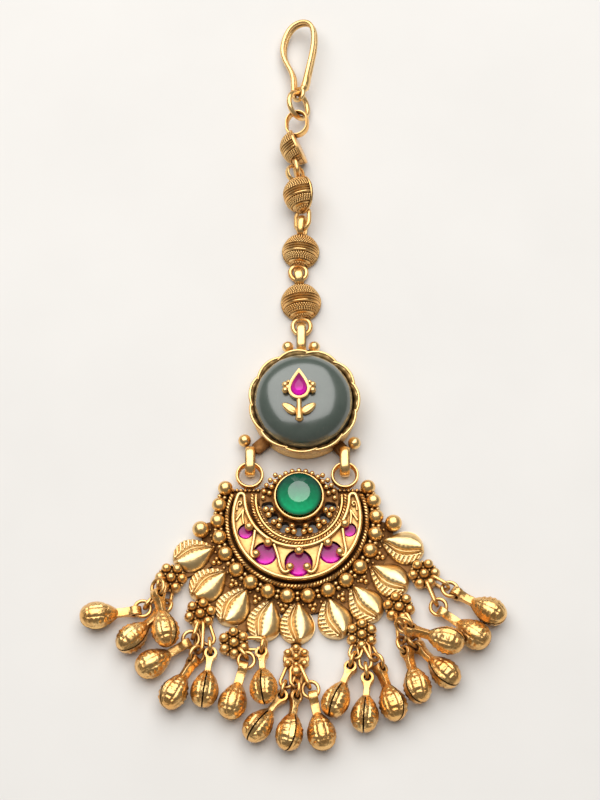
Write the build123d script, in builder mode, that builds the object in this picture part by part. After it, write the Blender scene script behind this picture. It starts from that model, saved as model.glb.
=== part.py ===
"""A maang tikka, a forehead ornament of gold-plated brass, lying face up.

The working frame has its origin at the centre of the pendant's circles, on the resting plane.
+X is the wearer's side, +Y runs up the chain to the hook and +Z is the side that shows.
At the end every piece moves by the same amount, so that the origin of the written parts is
the middle of the bottom face of the whole ornament's box.  Lengths are millimetres.
"""
from build123d import *
from math import asin, atan2, cos, degrees, hypot, radians, sin
import os

os.makedirs("parts", exist_ok=True)

# ---------------------------------------------------------------- sheet, wire and clearances
PLATE_THICK = 0.8        # back plate of the pendant
SHEET = 0.4              # domes, bezels and drop shells
STRAP_SHEET = 0.35       # flat strap loops
LINK_WIRE = 0.56         # jump links of the drops and the loops that they hang from
SEAT = 0.1               # clearance between a stone and its setting

# ---------------------------------------------------------------- pendant
BALL_ROW_R = 11.6        # radius of the row of balls
BALL_ANGLES = [          # from straight down; the balls are set by hand, a little unevenly
    -115, -101.5, -89, -76.8, -63.6, -49.2, -35.3, -21.1, -6.9,
    7.8, 22.8, 37.7, 51.8, 66.2, 79.4, 92.5, 104.6, 116,
]
BALL_D = 2.15
BALL_Z = 1.5
END_BALL_R = 14.1        # the two larger balls outside the row
END_BALL_D = 2.5
END_BALL_ANGLES = (-84, 88)

INNER_PLATE_R = 12.3     # plate under the row of balls
INNER_PLATE_TOP = 5.6
OUTER_PLATE_R = 14.2     # plate under the roots of the leaves
OUTER_PLATE_TOP = -0.4

GREEN_X = 0.3            # centre of the green stone and its openwork
GREEN_Y = 3.1
GREEN_R = 2.95
GREEN_BEZEL_R = 3.5
GREEN_RIM_Z = 3.6
GREEN_TABLE_R = 1.75
GREEN_TABLE_Z = 5.2
OPENWORK_R = 4.75
OPENING_R = 0.65
OPENING_RING_R = 4.75
OPENING_ANGLES = (-79, -54, -27, 0, 27, 54, 79)

CRESCENT_OUTER_R = 9.5
CRESCENT_INNER_R = 7.4
CRESCENT_INNER_Y = 3.2   # centre of the inner arc above the pendant's centre
CRESCENT_TIP_Y = 3.9
CRESCENT_TIP_R = 0.5
CRESCENT_TOP_Z = 2.8
CRESCENT_WALL = 0.5
STRUT_ANGLES = (-57, -18, 23, 62)
STRUT_WIDTH = 0.62
STRUT_Z = 2.15
STRUT_TOP_Z = 2.7
STRUT_BALL_Z = 2.5
STRUT_BALL_R = 8.0
STRUT_BALL_D = 1.35

PINK_STONES = [          # x, y and radius of the round stones in the crescent
    (-7.48, -2.05, 1.12),
    (-4.6, -5.4, 1.75),
    (0.25, -6.82, 2.05),
    (4.9, -5.2, 1.72),
    (7.62, -1.75, 1.08),
]
PINK_BASE_Z = PLATE_THICK + SEAT
PINK_TOP_Z = 2.05

LEAVES = [               # angle from straight down and radius of the pointed end
    (-71, 12.5),
    (-53, 12.6),
    (-35, 12.4),
    (-17, 12.4),
    (0, 12.1),
    (20, 12.3),
    (38, 12.5),
    (56.5, 12.6),
    (75.5, 12.6),
]
LEAF_LENGTH = 6.3
LEAF_BELLY = 4.1         # widest place, from the pointed end
LEAF_HALF_WIDTH = 2.3
LEAF_END_X = 5.75        # where the outline turns in towards the blunt end

ROSETTES = {             # centres of the granule rosettes on the plate's rim
    "C1": (-18.2, -8.8),
    "C2": (-13.9, -14.2),
    "C3": (-9.0, -18.5),
    "C4": (-0.1, -20.8),
    "C5": (9.3, -17.3),
    "C6": (14.7, -13.2),
    "C7": (18.4, -8.2),
}
ROSETTE_DISC_R = 1.8
ROSETTE_DISC_Z = 0.3
ROSETTE_DISC_TOP = 1.1
ROSETTE_BALL_RING_R = 1.45
ROSETTE_BALL_D = 1.15
ROSETTE_BALL_Z = 1.5
ROSETTE_CENTRE_Z = 1.62
STEM_ROOT_Z = 0.65       # the stems of the loops start inside the disc
STEM_ROOT_R = 1.2
STEM_WIRE = 0.66
ARM_WIDTH = 1.6          # strip from the plate out to each rosette
ARM_INNER_R = 13.4

HANG_RING_R = 1.8        # centre line of the two rings that hang the pendant
HANG_RING_WALL = 0.55
HANG_RING_HEIGHT = 1.2
HANG_RING_Z = 0.75
HANG_RINGS = [(-6.95, 6.93), (7.05, 6.93)]

# ---------------------------------------------------------------- drops
DROP_R = 2.1             # widest radius of a drop
DROP_REACH = 5.2         # from the centre of the eye to the centre of the body
DROP_HALF = 2.9          # half the length of the body
DROP_BELLY = 0.45        # the widest place lies this far past the centre of the body
DROP_WALL = 0.35
DROP_NECK_R = 0.45       # radius of the body where the neck meets it
DROP_ROOT = 1.0          # solid length at the root, before the hollow starts
DROP_SLIT_START = 1.2    # solid length before the slit starts
REST = 2.08              # height of a body's centre, so that it rests on the plane
DROP_SLIT = 0.2          # seam between the two half shells
EYE_HOLE_R = 0.6
EYE_SHEET = 0.3
EYE_WIDTH = 1.2
NECK_HALF = 0.3          # half the thickness of the strap where it enters the body
LINK_R = 1.15            # centre line of a jump link
LOOP_R = 0.85            # centre line of the loop that a jump link hangs in

# A row gives the rosette that a drop hangs from, the centre of its body (x, y, z), the height
# of its eye, its heading in degrees from +X, its roll about its own axis (0 shows the seam on
# top) and the heading of its jump link.  Most bodies rest on the plane; a few lie on others.
DROPS = [
    ("C1", -28.4, -14.6, REST, 1.5, -172, 90, -160),
    ("C1", -23.4, -17.8, REST, 1.5, -136, -55, -123),
    ("C1", -18.8, -16.9, 3.3, 3.0, -77, -50, -90),
    ("C2", -20.4, -21.6, REST, 1.6, -148, 80, -138),
    ("C2", -17.3, -25.8, REST, 1.5, -119, 50, -121),
    ("C2", -13.0, -25.4, REST, 1.6, -98, 0, -85),
    ("C3", -9.0, -27.2, REST, 1.5, -105, 90, -114),
    ("C3", -4.7, -25.4, 3.2, 1.8, -87, 10, -102),
    ("C4", -5.3, -30.6, REST, 1.5, -127, 5, -105),
    ("C4", -1.0, -31.6, REST, 1.5, -99, -25, -92),
    ("C4", 3.4, -31.6, REST, 1.6, -78, 90, -71),
    ("C5", 5.6, -27.0, 2.3, 1.5, -113, 10, -108),
    ("C5", 9.6, -29.0, REST, 1.5, -95, 5, -83),
    ("C5", 13.5, -27.4, REST, 1.5, -72, -40, -64),
    ("C6", 17.0, -24.9, 2.25, 1.5, -76, 50, -66),
    ("C6", 20.85, -22.9, REST, 1.5, -47, 45, -64),
    ("C6", 21.1, -18.7, 3.7, 3.45, -18, -40, -33),
    ("C7", 25.2, -17.3, REST, 1.5, -38, -75, -50),
    ("C7", 27.5, -13.9, 2.2, 1.5, -31, 75, -35),
]

# ---------------------------------------------------------------- medallion
MEDAL_X = 1.05
MEDAL_Y = 17.7
MEDAL_BASE_R = 7.7
MEDAL_BASE_TOP = 1.0
MEDAL_WALL_R = 7.3       # inside of the bezel
MEDAL_WALL = 0.45
MEDAL_FLARE_Z = 3.2
MEDAL_RIM_R = 8.25
MEDAL_RIM_Z = 4.4
SCALLOPS = 11
SCALLOP_START = 20.0
SCALLOP_R = 2.6
SCALLOP_DEPTH = 0.35
CABOCHON_R = MEDAL_WALL_R - SEAT
CABOCHON_SIDE_Z = 3.6
CABOCHON_TOP_Z = 7.3
LUGS = [                 # heading from the medallion's centre, reach and width
    (90, 10.4, 5.0),
    (222, 10.9, 3.4),
    (311, 10.0, 3.4),
]
MEDAL_BALL_D = 1.65
MEDAL_BALLS = [(-1.4, 27.5), (2.6, 27.5), (-7.75, 12.4), (8.5, 12.0)]
MEDAL_STRAPS = [         # x, lower end and upper end of the strap loops
    (0.65, 26.2, 31.4),
    (-6.9, 6.7, 11.4),
    (7.05, 6.7, 11.4),
]
STRAP_HEIGHT = 3.2
STRAP_CORNER = 1.3
STRAP_WIDTH = 1.3

# ---------------------------------------------------------------- flower on the cabochon
FLOWER_X = 0.3
PEAR_Y = 18.1
PEAR_R = 1.25
PEAR_LENGTH = 3.8
PEAR_WALL = 0.3
PEAR_HEIGHT = 0.9
STEM_LENGTH = 3.2
STEM_WIDTH = 0.6
FLOWER_SHEET = 0.45      # stem, leaves and cups
FLOWER_FLOOR = 0.25      # under the pear-shaped stone
PETAL_LEAF = (1.3, 1.35, 0.68, 38)   # offset from the stem, half length, half width and turn
PETAL_LEAF_Y = -2.95
CUP_R = 0.42
CUPS = [(1.9, 0.45), (1.75, -0.25), (1.55, 1.1)]
FLOWER_SINK = 0.12       # how far the flower's underside stands off the stone

# ---------------------------------------------------------------- chain
# A row gives the centre of the flat face (x, y, z), the dome's radius, the lean of the
# chain line from +Y and the roll of the dome to the left.
BEADS = {
    "bead_1": (0.05, 60.8, 2.85, 2.75, 22, 106),
    "bead_2": (0.65, 52.5, 2.85, 2.85, 12, 61),
    "bead_3": (0.55, 43.8, 0.75, 2.75, -5, 0),
    "bead_4": (0.60, 35.2, 0.75, 2.95, 5, 0),
}
# Strap loops: centre (x, y, z), lean, roll, length, height and width of the band.
BEAD_STRAPS = {
    "bead_1": (0.0, 65.1, 2.55, 0, 106, 4.6, 3.8, 1.2),
    "bead_2": (-0.30, 56.15, 2.85, 12, 61, 3.3, 3.2, 0.9),
    "bead_3": (0.80, 47.5, 1.75, -5, 15, 3.8, 3.0, 0.9),
    "bead_4": (0.28, 38.9, 1.60, 5, 0, 3.2, 3.2, 1.2),
}
# Wire rings: centre (x, y, z), lean, roll, pitch, length and width to the outside.
BEAD_RINGS = {
    "bead_1": (-0.15, 57.3, 2.6, 10, 88, 0, 3.6, 3.2),
    "bead_2": (0.85, 48.65, 2.2, 0, 38, -4, 4.4, 3.2),
    "bead_3": (0.20, 40.2, 0.75, 0, 0, 0, 3.2, 3.2),
    "bead_4": (0.70, 31.2, 0.75, 0, 0, 0, 3.4, 3.4),
}
BEAD_PLATE = 0.4
BEAD_FLANGE = 0.15
RING_WIRE = 0.62

HOOK_RING_X = 0.2
HOOK_RING_Y = 68.5
HOOK_RING_Z = 2.35
HOOK_RING_R = 2.13
HOOK_RING_WIRE = 0.85
HOOK_RING_ROLL = 48

# ---------------------------------------------------------------- hook
HOOK_WIRE = 0.8
HOOK_STACK = 0.76        # distance between the centres of the two strands
HOOK_TURN = 22           # the plane of the hook rises to the right by this angle
HOOK_BASE_X = -2.2
HOOK_BASE_Z = 1.02
# Corners of the hook's centre line in plan, with the radius of each inner corner.
HOOK_ROUTE = [
    (-0.45, 71.55, 0),
    (-0.45, 74.6, 3.0),
    (-3.1, 79.0, 2.6),
    (-1.6, 83.2, 1.8),
    (2.6, 84.4, 2.2),
    (2.9, 78.6, 12.0),
    (1.25, 71.7, 0),
]
HOOK_EYE_R = 0.95
HOOK_EYE_WIRE = 0.7
HOOK_EYE_PLACE = (0.25, 70.6, 2.1)
HOOK_EYE_ROLL = 42


# ---------------------------------------------------------------- helpers
def ray(radius, angle):
    """Point at a radius from the pendant's centre, at an angle from straight down."""
    return radius * sin(radians(angle)), -radius * cos(radians(angle))


def step(x, y, heading, distance):
    """Point at a distance from (x, y) along a heading in degrees from +X."""
    return x + distance * cos(radians(heading)), y + distance * sin(radians(heading))


def posed(x, y, z, lean=0, roll=0, pitch=0):
    """Place whose Y follows the chain and whose Z is the face, rolled to the left."""
    return Pos(x, y, z) * Rot(Z=lean) * Rot(X=pitch) * Rot(Y=-roll)


def add_strap(place, length, height, width):
    """Add a flat band bent into a loop; its hole runs along the place's X."""
    with BuildSketch(Plane(place * Rot(Y=90) * Rot(Z=90))) as band:
        RectangleRounded(length, height, STRAP_CORNER)
        RectangleRounded(length - 2 * STRAP_SHEET, height - 2 * STRAP_SHEET,
                         STRAP_CORNER - STRAP_SHEET, mode=Mode.SUBTRACT)
    extrude(band.sketch, amount=width / 2, both=True)


def add_wire_ring(place, length, width, wire):
    """Add a ring of round wire in the place's XY plane, long along Y."""
    radius = (width - wire) / 2
    straight = (length - width) / 2
    if straight < 0.01:
        with Locations(place):
            Torus(radius, wire / 2)
        return
    with BuildLine(Plane(place)) as route:
        Line((radius, -straight), (radius, straight))
        ThreePointArc((radius, straight), (0, straight + radius), (-radius, straight))
        Line((-radius, straight), (-radius, -straight))
        ThreePointArc((-radius, -straight), (0, -straight - radius), (radius, -straight))
    with BuildSketch(Plane(route.line @ 0, z_dir=route.line % 0)) as section:
        Circle(wire / 2)
    sweep(section.sketch, path=route.line)


def add_bar(start, end, diameter):
    """Add a round bar between two points."""
    run = Vector(*end) - Vector(*start)
    with BuildSketch(Plane(start, z_dir=run)) as section:
        Circle(diameter / 2)
    extrude(section.sketch, amount=run.length)


finished = []


def finish(piece, name):
    """Label a piece and keep it for writing."""
    piece.label = name
    finished.append(piece)


# ---------------------------------------------------------------- where each drop hangs
class Hanging:
    """The places of one drop: its loop on the rosette, its jump link and its eye."""

    def __init__(self, rosette, body_x, body_y, body_z, eye_z, heading, roll, link_heading):
        self.rosette = rosette
        self.eye_z = eye_z
        rise = degrees(atan2(body_z - eye_z, DROP_REACH))
        eye_x, eye_y = step(body_x, body_y, heading, -DROP_REACH)
        link_x, link_y = step(eye_x, eye_y, link_heading, -LINK_R)
        self.loop_x, self.loop_y = step(eye_x, eye_y, link_heading, -2 * LINK_R)
        self.link_heading = link_heading
        self.drop = Pos(eye_x, eye_y, eye_z) * Rot(Z=heading) * Rot(Y=-rise) * Rot(X=roll)
        self.link = Pos(link_x, link_y, eye_z) * Rot(Z=link_heading) * Rot(X=roll + 90)
        self.loop = Pos(self.loop_x, self.loop_y, eye_z) * Rot(Z=link_heading) * Rot(X=roll)


hangings = [Hanging(*row) for row in DROPS]

# ---------------------------------------------------------------- one leaf, upright
# The pointed end is at the origin, the leaf lies along +X and its dome is half a teardrop.
with BuildPart() as leaf:
    with BuildSketch(Plane.XY):
        with BuildLine():
            belly = (LEAF_BELLY, LEAF_HALF_WIDTH)
            ThreePointArc((0, 0), (0.46 * LEAF_BELLY, 0.72 * LEAF_HALF_WIDTH), belly)
            ThreePointArc(belly, (LEAF_END_X, 0.7 * LEAF_HALF_WIDTH), (LEAF_LENGTH, 0))
            Line((LEAF_LENGTH, 0), (0, 0))
        make_face()
    revolve(axis=Axis.X, revolution_arc=180)

# ---------------------------------------------------------------- loops on the rosettes
# Each jump link hangs in a loop on a stem that starts inside its rosette's disc.
hangers = []
for hanging in hangings:
    with BuildPart() as hanger:
        with Locations(hanging.loop):
            Torus(LOOP_R, LINK_WIRE / 2)
        x, y = ROSETTES[hanging.rosette]
        stem_end = step(hanging.loop_x, hanging.loop_y, hanging.link_heading, -LOOP_R)
        stem_heading = degrees(atan2(stem_end[1] - y, stem_end[0] - x))
        stem_start = step(x, y, stem_heading, STEM_ROOT_R)
        add_bar((*stem_start, STEM_ROOT_Z), (*stem_end, hanging.eye_z), STEM_WIRE)
    hangers.append(hanger.part)

# ---------------------------------------------------------------- pendant frame
with BuildPart() as pendant_frame:
    # Plate: the part under the balls, the part under the leaves, the openwork and the arms.
    with BuildSketch() as plate_outline:
        with BuildSketch(mode=Mode.PRIVATE) as inner_plate:
            Circle(INNER_PLATE_R)
            with Locations((0, INNER_PLATE_TOP + INNER_PLATE_R)):
                Rectangle(2 * INNER_PLATE_R, 2 * INNER_PLATE_R, mode=Mode.SUBTRACT)
        with BuildSketch(mode=Mode.PRIVATE) as outer_plate:
            Circle(OUTER_PLATE_R)
            with Locations((0, OUTER_PLATE_TOP + OUTER_PLATE_R)):
                Rectangle(2 * OUTER_PLATE_R, 2 * OUTER_PLATE_R, mode=Mode.SUBTRACT)
        add(inner_plate.sketch)
        add(outer_plate.sketch)
        with Locations((GREEN_X, GREEN_Y)):
            Circle(OPENWORK_R)
        for x, y in ROSETTES.values():
            reach = hypot(x, y)
            middle = (ARM_INNER_R + reach) / 2
            with Locations(Location((x * middle / reach, y * middle / reach), degrees(atan2(y, x)))):
                Rectangle(reach - ARM_INNER_R, ARM_WIDTH)
        with Locations(*HANG_RINGS):
            Circle(HANG_RING_R - HANG_RING_WALL / 2, mode=Mode.SUBTRACT)
    extrude(amount=PLATE_THICK)

    # Openings round the green stone.
    with BuildSketch() as openings:
        for angle in OPENING_ANGLES:
            x, y = ray(OPENING_RING_R, angle)
            with Locations((GREEN_X + x, GREEN_Y + y)):
                Circle(OPENING_R)
    extrude(amount=PLATE_THICK, mode=Mode.SUBTRACT)

    # Leaves, flat underneath.
    for angle, start in LEAVES:
        x, y = ray(start, angle)
        add(leaf.part.moved(Pos(x, y, 0) * Rot(Z=angle - 90)))

    # Row of balls and the two larger ones.
    with Locations(*[(*ray(BALL_ROW_R, angle), BALL_Z) for angle in BALL_ANGLES]):
        Sphere(BALL_D / 2)
    with Locations(*[(*ray(END_BALL_R, angle), BALL_Z) for angle in END_BALL_ANGLES]):
        Sphere(END_BALL_D / 2)

    # Bezel of the green stone: a tube with a floor under the stone.
    with BuildSketch(Plane.XY.offset(PLATE_THICK)):
        with Locations((GREEN_X, GREEN_Y)):
            Circle(GREEN_BEZEL_R)
            Circle(GREEN_R + SEAT, mode=Mode.SUBTRACT)
    extrude(amount=GREEN_RIM_Z - PLATE_THICK)

    # Crescent box: wall, struts and the balls that end them.
    with BuildSketch(Plane.XY.offset(PLATE_THICK)) as crescent:
        Circle(CRESCENT_OUTER_R)
        with Locations((0, CRESCENT_INNER_Y)):
            Circle(CRESCENT_INNER_R, mode=Mode.SUBTRACT)
        with Locations((0, CRESCENT_TIP_Y + CRESCENT_OUTER_R)):
            Rectangle(2 * CRESCENT_OUTER_R, 2 * CRESCENT_OUTER_R, mode=Mode.SUBTRACT)
        fillet(crescent.vertices(), CRESCENT_TIP_R)
        offset(crescent.sketch, amount=-CRESCENT_WALL, mode=Mode.SUBTRACT)
    extrude(amount=CRESCENT_TOP_Z - PLATE_THICK)
    with BuildSketch(Plane.XY.offset(STRUT_Z)) as struts:
        with BuildSketch(mode=Mode.PRIVATE) as opening:
            Circle(CRESCENT_OUTER_R - CRESCENT_WALL / 2)
            with Locations((0, CRESCENT_INNER_Y)):
                Circle(CRESCENT_INNER_R + CRESCENT_WALL / 2, mode=Mode.SUBTRACT)
        for angle in STRUT_ANGLES:
            with Locations(Location(ray(CRESCENT_OUTER_R / 2, angle), angle)):
                Rectangle(STRUT_WIDTH, CRESCENT_OUTER_R)
        add(opening.sketch, mode=Mode.INTERSECT)
    extrude(amount=STRUT_TOP_Z - STRUT_Z)
    with Locations(*[(*ray(STRUT_BALL_R, angle), STRUT_BALL_Z) for angle in STRUT_ANGLES]):
        Sphere(STRUT_BALL_D / 2)

    # Rosettes: a disc, a ring of six balls and one in the middle.
    centres = list(ROSETTES.values())
    with BuildSketch(Plane.XY.offset(ROSETTE_DISC_Z)):
        with Locations(*centres):
            Circle(ROSETTE_DISC_R)
    extrude(amount=ROSETTE_DISC_TOP - ROSETTE_DISC_Z)
    petals = []
    for x, y in centres:
        outward = degrees(atan2(y, x))
        petals += [(*step(x, y, outward + 30 + 60 * turn, ROSETTE_BALL_RING_R), ROSETTE_BALL_Z)
                   for turn in range(6)]
        petals.append((x, y, ROSETTE_CENTRE_Z))
    with Locations(*petals):
        Sphere(ROSETTE_BALL_D / 2)

    for hanger in hangers:
        add(hanger)

    # The two rings at the top that the medallion's strap loops hold.
    with BuildSketch(Plane.XY.offset(HANG_RING_Z)):
        with Locations(*HANG_RINGS):
            Circle(HANG_RING_R + HANG_RING_WALL / 2)
            Circle(HANG_RING_R - HANG_RING_WALL / 2, mode=Mode.SUBTRACT)
    extrude(amount=HANG_RING_HEIGHT)
finish(pendant_frame.part, "pendant_frame")

# ---------------------------------------------------------------- stones of the pendant
with BuildPart() as green_stone:
    floor_z = PLATE_THICK + SEAT
    with BuildSketch(Plane.XZ):
        with BuildLine():
            Polyline((0, floor_z), (1.0, floor_z), (GREEN_R, GREEN_RIM_Z - 0.5),
                     (GREEN_R, GREEN_RIM_Z), (GREEN_TABLE_R, GREEN_TABLE_Z), (0, GREEN_TABLE_Z),
                     close=True)
        make_face()
    revolve(axis=Axis.Z)
finish(green_stone.part.moved(Pos(GREEN_X, GREEN_Y, 0)), "green_stone")

for index, (x, y, radius) in enumerate(PINK_STONES, start=1):
    with BuildPart() as pink_stone:
        with BuildSketch(Plane.XY.offset(PINK_BASE_Z)):
            Circle(radius)
        extrude(amount=PINK_TOP_Z - PINK_BASE_Z)
        chamfer(pink_stone.edges().group_by(Axis.Z)[-1], length=0.45, length2=radius * 0.4)
    finish(pink_stone.part.moved(Pos(x, y, 0)), f"pink_stone_{index}")

# ---------------------------------------------------------------- one drop, along +X
# The centre of its eye is at the origin and the hole of the eye runs along Z.
def drop_profile(start, inset):
    """Half outline of the body about the X axis from its start, moved inwards by a wall."""
    end = DROP_REACH + DROP_HALF - inset
    belly_x = DROP_REACH + DROP_BELLY
    belly = DROP_R - inset
    neck = DROP_NECK_R
    shoulder = (start + 0.45 * (belly_x - start), neck + 0.73 * (belly - neck))
    round_end = (belly_x + 0.72 * (end - belly_x), 0.69 * belly)
    Line((start, 0), (start, neck))
    ThreePointArc((start, neck), shoulder, (belly_x, belly))
    ThreePointArc((belly_x, belly), round_end, (end, 0))
    Line((end, 0), (start, 0))


drop_start = DROP_REACH - DROP_HALF
with BuildPart() as drop:
    with BuildSketch(Plane.XY):
        with BuildLine():
            drop_profile(drop_start, 0)
        make_face()
    revolve(axis=Axis.X)
    with BuildSketch(Plane.XY):
        with BuildLine():
            drop_profile(drop_start + DROP_ROOT, DROP_WALL)
        make_face()
    revolve(axis=Axis.X, mode=Mode.SUBTRACT)
    with Locations((drop_start + DROP_SLIT_START, 0, 0)):
        Box(2 * DROP_HALF, DROP_SLIT, 2 * DROP_R + 1, mode=Mode.SUBTRACT,
            align=(Align.MIN, Align.CENTER, Align.CENTER))
    with BuildSketch(Plane.XY) as neck:
        eye_outer = EYE_HOLE_R + EYE_SHEET
        neck_end = drop_start + 0.5 * DROP_ROOT
        Circle(eye_outer)
        with BuildLine():
            Polyline((0, eye_outer), (neck_end, NECK_HALF), (neck_end, -NECK_HALF), (0, -eye_outer),
                     close=True)
        make_face()
        Circle(EYE_HOLE_R, mode=Mode.SUBTRACT)
    extrude(amount=EYE_WIDTH / 2, both=True)

with BuildPart() as drop_link:
    Torus(LINK_R, LINK_WIRE / 2)

for index, hanging in enumerate(hangings, start=1):
    finish(drop.part.moved(hanging.drop), f"drop_{index:02d}")
    finish(drop_link.part.moved(hanging.link), f"drop_link_{index:02d}")

# ---------------------------------------------------------------- medallion
with BuildPart() as medallion_setting:
    with BuildSketch(Plane.XZ):
        with BuildLine():
            Polyline(
                (0, 0), (MEDAL_BASE_R, 0), (MEDAL_WALL_R + MEDAL_WALL, MEDAL_BASE_TOP),
                (MEDAL_WALL_R + MEDAL_WALL, MEDAL_FLARE_Z), (MEDAL_RIM_R, MEDAL_RIM_Z),
                (MEDAL_RIM_R - MEDAL_WALL, MEDAL_RIM_Z), (MEDAL_WALL_R, MEDAL_FLARE_Z),
                (MEDAL_WALL_R, MEDAL_BASE_TOP), (0, MEDAL_BASE_TOP), close=True)
        make_face()
    revolve(axis=Axis.Z)
    for index in range(SCALLOPS):
        turn = Rot(Z=SCALLOP_START + 360 * index / SCALLOPS)
        with Locations(turn * Pos(MEDAL_WALL_R, 0, MEDAL_RIM_Z + SCALLOP_R - SCALLOP_DEPTH) * Rot(Y=90)):
            Cylinder(SCALLOP_R, 3, mode=Mode.SUBTRACT)
    for heading, reach, width in LUGS:
        middle = (reach + MEDAL_WALL_R) / 2
        with Locations(Pos(*step(0, 0, heading, middle), 0.2) * Rot(Z=heading)):
            Box(reach - MEDAL_WALL_R, width, 1.0, align=(Align.CENTER, Align.CENTER, Align.MIN))
    with Locations(*[(x - MEDAL_X, y - MEDAL_Y, 1.5) for x, y in MEDAL_BALLS]):
        Sphere(MEDAL_BALL_D / 2)
    for x, low, high in MEDAL_STRAPS:
        centre = (x - MEDAL_X, (low + high) / 2 - MEDAL_Y, STRAP_HEIGHT / 2)
        add_strap(Pos(*centre), high - low, STRAP_HEIGHT, STRAP_WIDTH)
finish(medallion_setting.part.moved(Pos(MEDAL_X, MEDAL_Y, 0)), "medallion_setting")

dome_height = CABOCHON_TOP_Z - CABOCHON_SIDE_Z
dome_radius = (CABOCHON_R ** 2 + dome_height ** 2) / (2 * dome_height)
half_turn = asin(CABOCHON_R / dome_radius) / 2
shoulder = (dome_radius * sin(half_turn), CABOCHON_TOP_Z - dome_radius * (1 - cos(half_turn)))
with BuildPart() as medallion_stone:
    with BuildSketch(Plane.XZ):
        with BuildLine():
            base_z = MEDAL_BASE_TOP + SEAT
            Line((0, base_z), (CABOCHON_R, base_z))
            Line((CABOCHON_R, base_z), (CABOCHON_R, CABOCHON_SIDE_Z))
            ThreePointArc((CABOCHON_R, CABOCHON_SIDE_Z), shoulder, (0, CABOCHON_TOP_Z))
            Line((0, CABOCHON_TOP_Z), (0, base_z))
        make_face()
    revolve(axis=Axis.Z)
finish(medallion_stone.part.moved(Pos(MEDAL_X, MEDAL_Y, 0)), "medallion_stone")

# ---------------------------------------------------------------- flower on the cabochon
flower_z = CABOCHON_TOP_Z + FLOWER_SINK


def pear_outline(radius, length):
    """Pear with its round end down, about the centre of that end."""
    with BuildLine() as outline:
        CenterArc((0, 0), radius, 155, 230)
        tip = (0, length - radius)
        left = (radius * cos(radians(155)), radius * sin(radians(155)))
        right = (-left[0], left[1])
        ThreePointArc(right, (0.55 * radius, 0.58 * tip[1]), tip)
        ThreePointArc(tip, (-0.55 * radius, 0.58 * tip[1]), left)
    make_face(outline.edges())


with BuildPart() as flower_motif:
    with BuildSketch(Plane.XY):
        pear_outline(PEAR_R + PEAR_WALL, PEAR_LENGTH + 2 * PEAR_WALL)
    extrude(amount=PEAR_HEIGHT)
    with BuildSketch(Plane.XY.offset(FLOWER_FLOOR)):
        pear_outline(PEAR_R + SEAT / 2, PEAR_LENGTH + SEAT)
    extrude(amount=PEAR_HEIGHT, mode=Mode.SUBTRACT)
    with BuildSketch(Plane.XY):
        with Locations((0, -PEAR_R - STEM_LENGTH / 2)):
            Rectangle(STEM_WIDTH, STEM_LENGTH)
        aside, half_length, half_width, turn = PETAL_LEAF
        for side in (-1, 1):
            with Locations(Location((side * aside, PETAL_LEAF_Y), side * turn)):
                Ellipse(half_length, half_width)
            with Locations(*[(side * x, y) for x, y in CUPS]):
                Circle(CUP_R)
        with Locations((0, -PEAR_R - STEM_LENGTH)):
            Circle(STEM_WIDTH)
    extrude(amount=FLOWER_SHEET)
finish(flower_motif.part.moved(Pos(FLOWER_X, PEAR_Y, flower_z)), "flower_motif")

with BuildPart() as flower_stone:
    with BuildSketch(Plane.XY.offset(FLOWER_FLOOR + SEAT)):
        pear_outline(PEAR_R - SEAT / 2, PEAR_LENGTH - SEAT)
    extrude(amount=PEAR_HEIGHT)
    chamfer(flower_stone.faces().sort_by(Axis.Z)[-1].edges(), length=0.3)
finish(flower_stone.part.moved(Pos(FLOWER_X, PEAR_Y, flower_z)), "flower_stone")

# ---------------------------------------------------------------- chain links
for name, (x, y, z, radius, lean, roll) in BEADS.items():
    with BuildPart() as bead:
        with BuildSketch(Plane.XZ):
            with BuildLine():
                Line((0, radius), (0, radius - SHEET))
                RadiusArc((0, radius - SHEET), (radius - SHEET, 0), radius - SHEET)
                Line((radius - SHEET, 0), (radius, 0))
                RadiusArc((radius, 0), (0, radius), -radius)
            make_face()
        revolve(axis=Axis.Z)
        with BuildSketch(Plane.XY.offset(-BEAD_PLATE)):
            Circle(radius + BEAD_FLANGE)
        extrude(amount=BEAD_PLATE)
        back = posed(x, y, z, lean, roll).inverse()
        sx, sy, sz, strap_lean, strap_roll, length, height, width = BEAD_STRAPS[name]
        add_strap(back * posed(sx, sy, sz, strap_lean, strap_roll), length, height, width)
        rx, ry, rz, ring_lean, ring_roll, ring_pitch, length, width = BEAD_RINGS[name]
        add_wire_ring(back * posed(rx, ry, rz, ring_lean, ring_roll, ring_pitch), length, width, RING_WIRE)
    finish(bead.part.moved(posed(x, y, z, lean, roll)), name)

with BuildPart() as hook_ring:
    Torus(HOOK_RING_R, HOOK_RING_WIRE / 2)
ring_place = posed(HOOK_RING_X, HOOK_RING_Y, HOOK_RING_Z, roll=-HOOK_RING_ROLL)
finish(hook_ring.part.moved(ring_place), "hook_ring")

# ---------------------------------------------------------------- hook
hook_place = Pos(HOOK_BASE_X, 0, HOOK_BASE_Z) * Rot(Y=-HOOK_TURN)
flat_scale = 1 / cos(radians(HOOK_TURN))
with BuildPart() as hook:
    corners = [((x - HOOK_BASE_X) * flat_scale, y) for x, y, _ in HOOK_ROUTE]
    with BuildLine() as route:
        FilletPolyline(*corners, radius=[radius for _, _, radius in HOOK_ROUTE[1:-1]])
    with BuildSketch(Plane(route.line @ 0, x_dir=(1, 0, 0), z_dir=route.line % 0)):
        with Locations((0, HOOK_STACK / 2), (0, -HOOK_STACK / 2)):
            Circle(HOOK_WIRE / 2)
    sweep(path=route.line)
    with Locations(hook_place.inverse() * posed(*HOOK_EYE_PLACE, roll=HOOK_EYE_ROLL)):
        Torus(HOOK_EYE_R, HOOK_EYE_WIRE / 2)
finish(hook.part.moved(hook_place), "hook")

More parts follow.
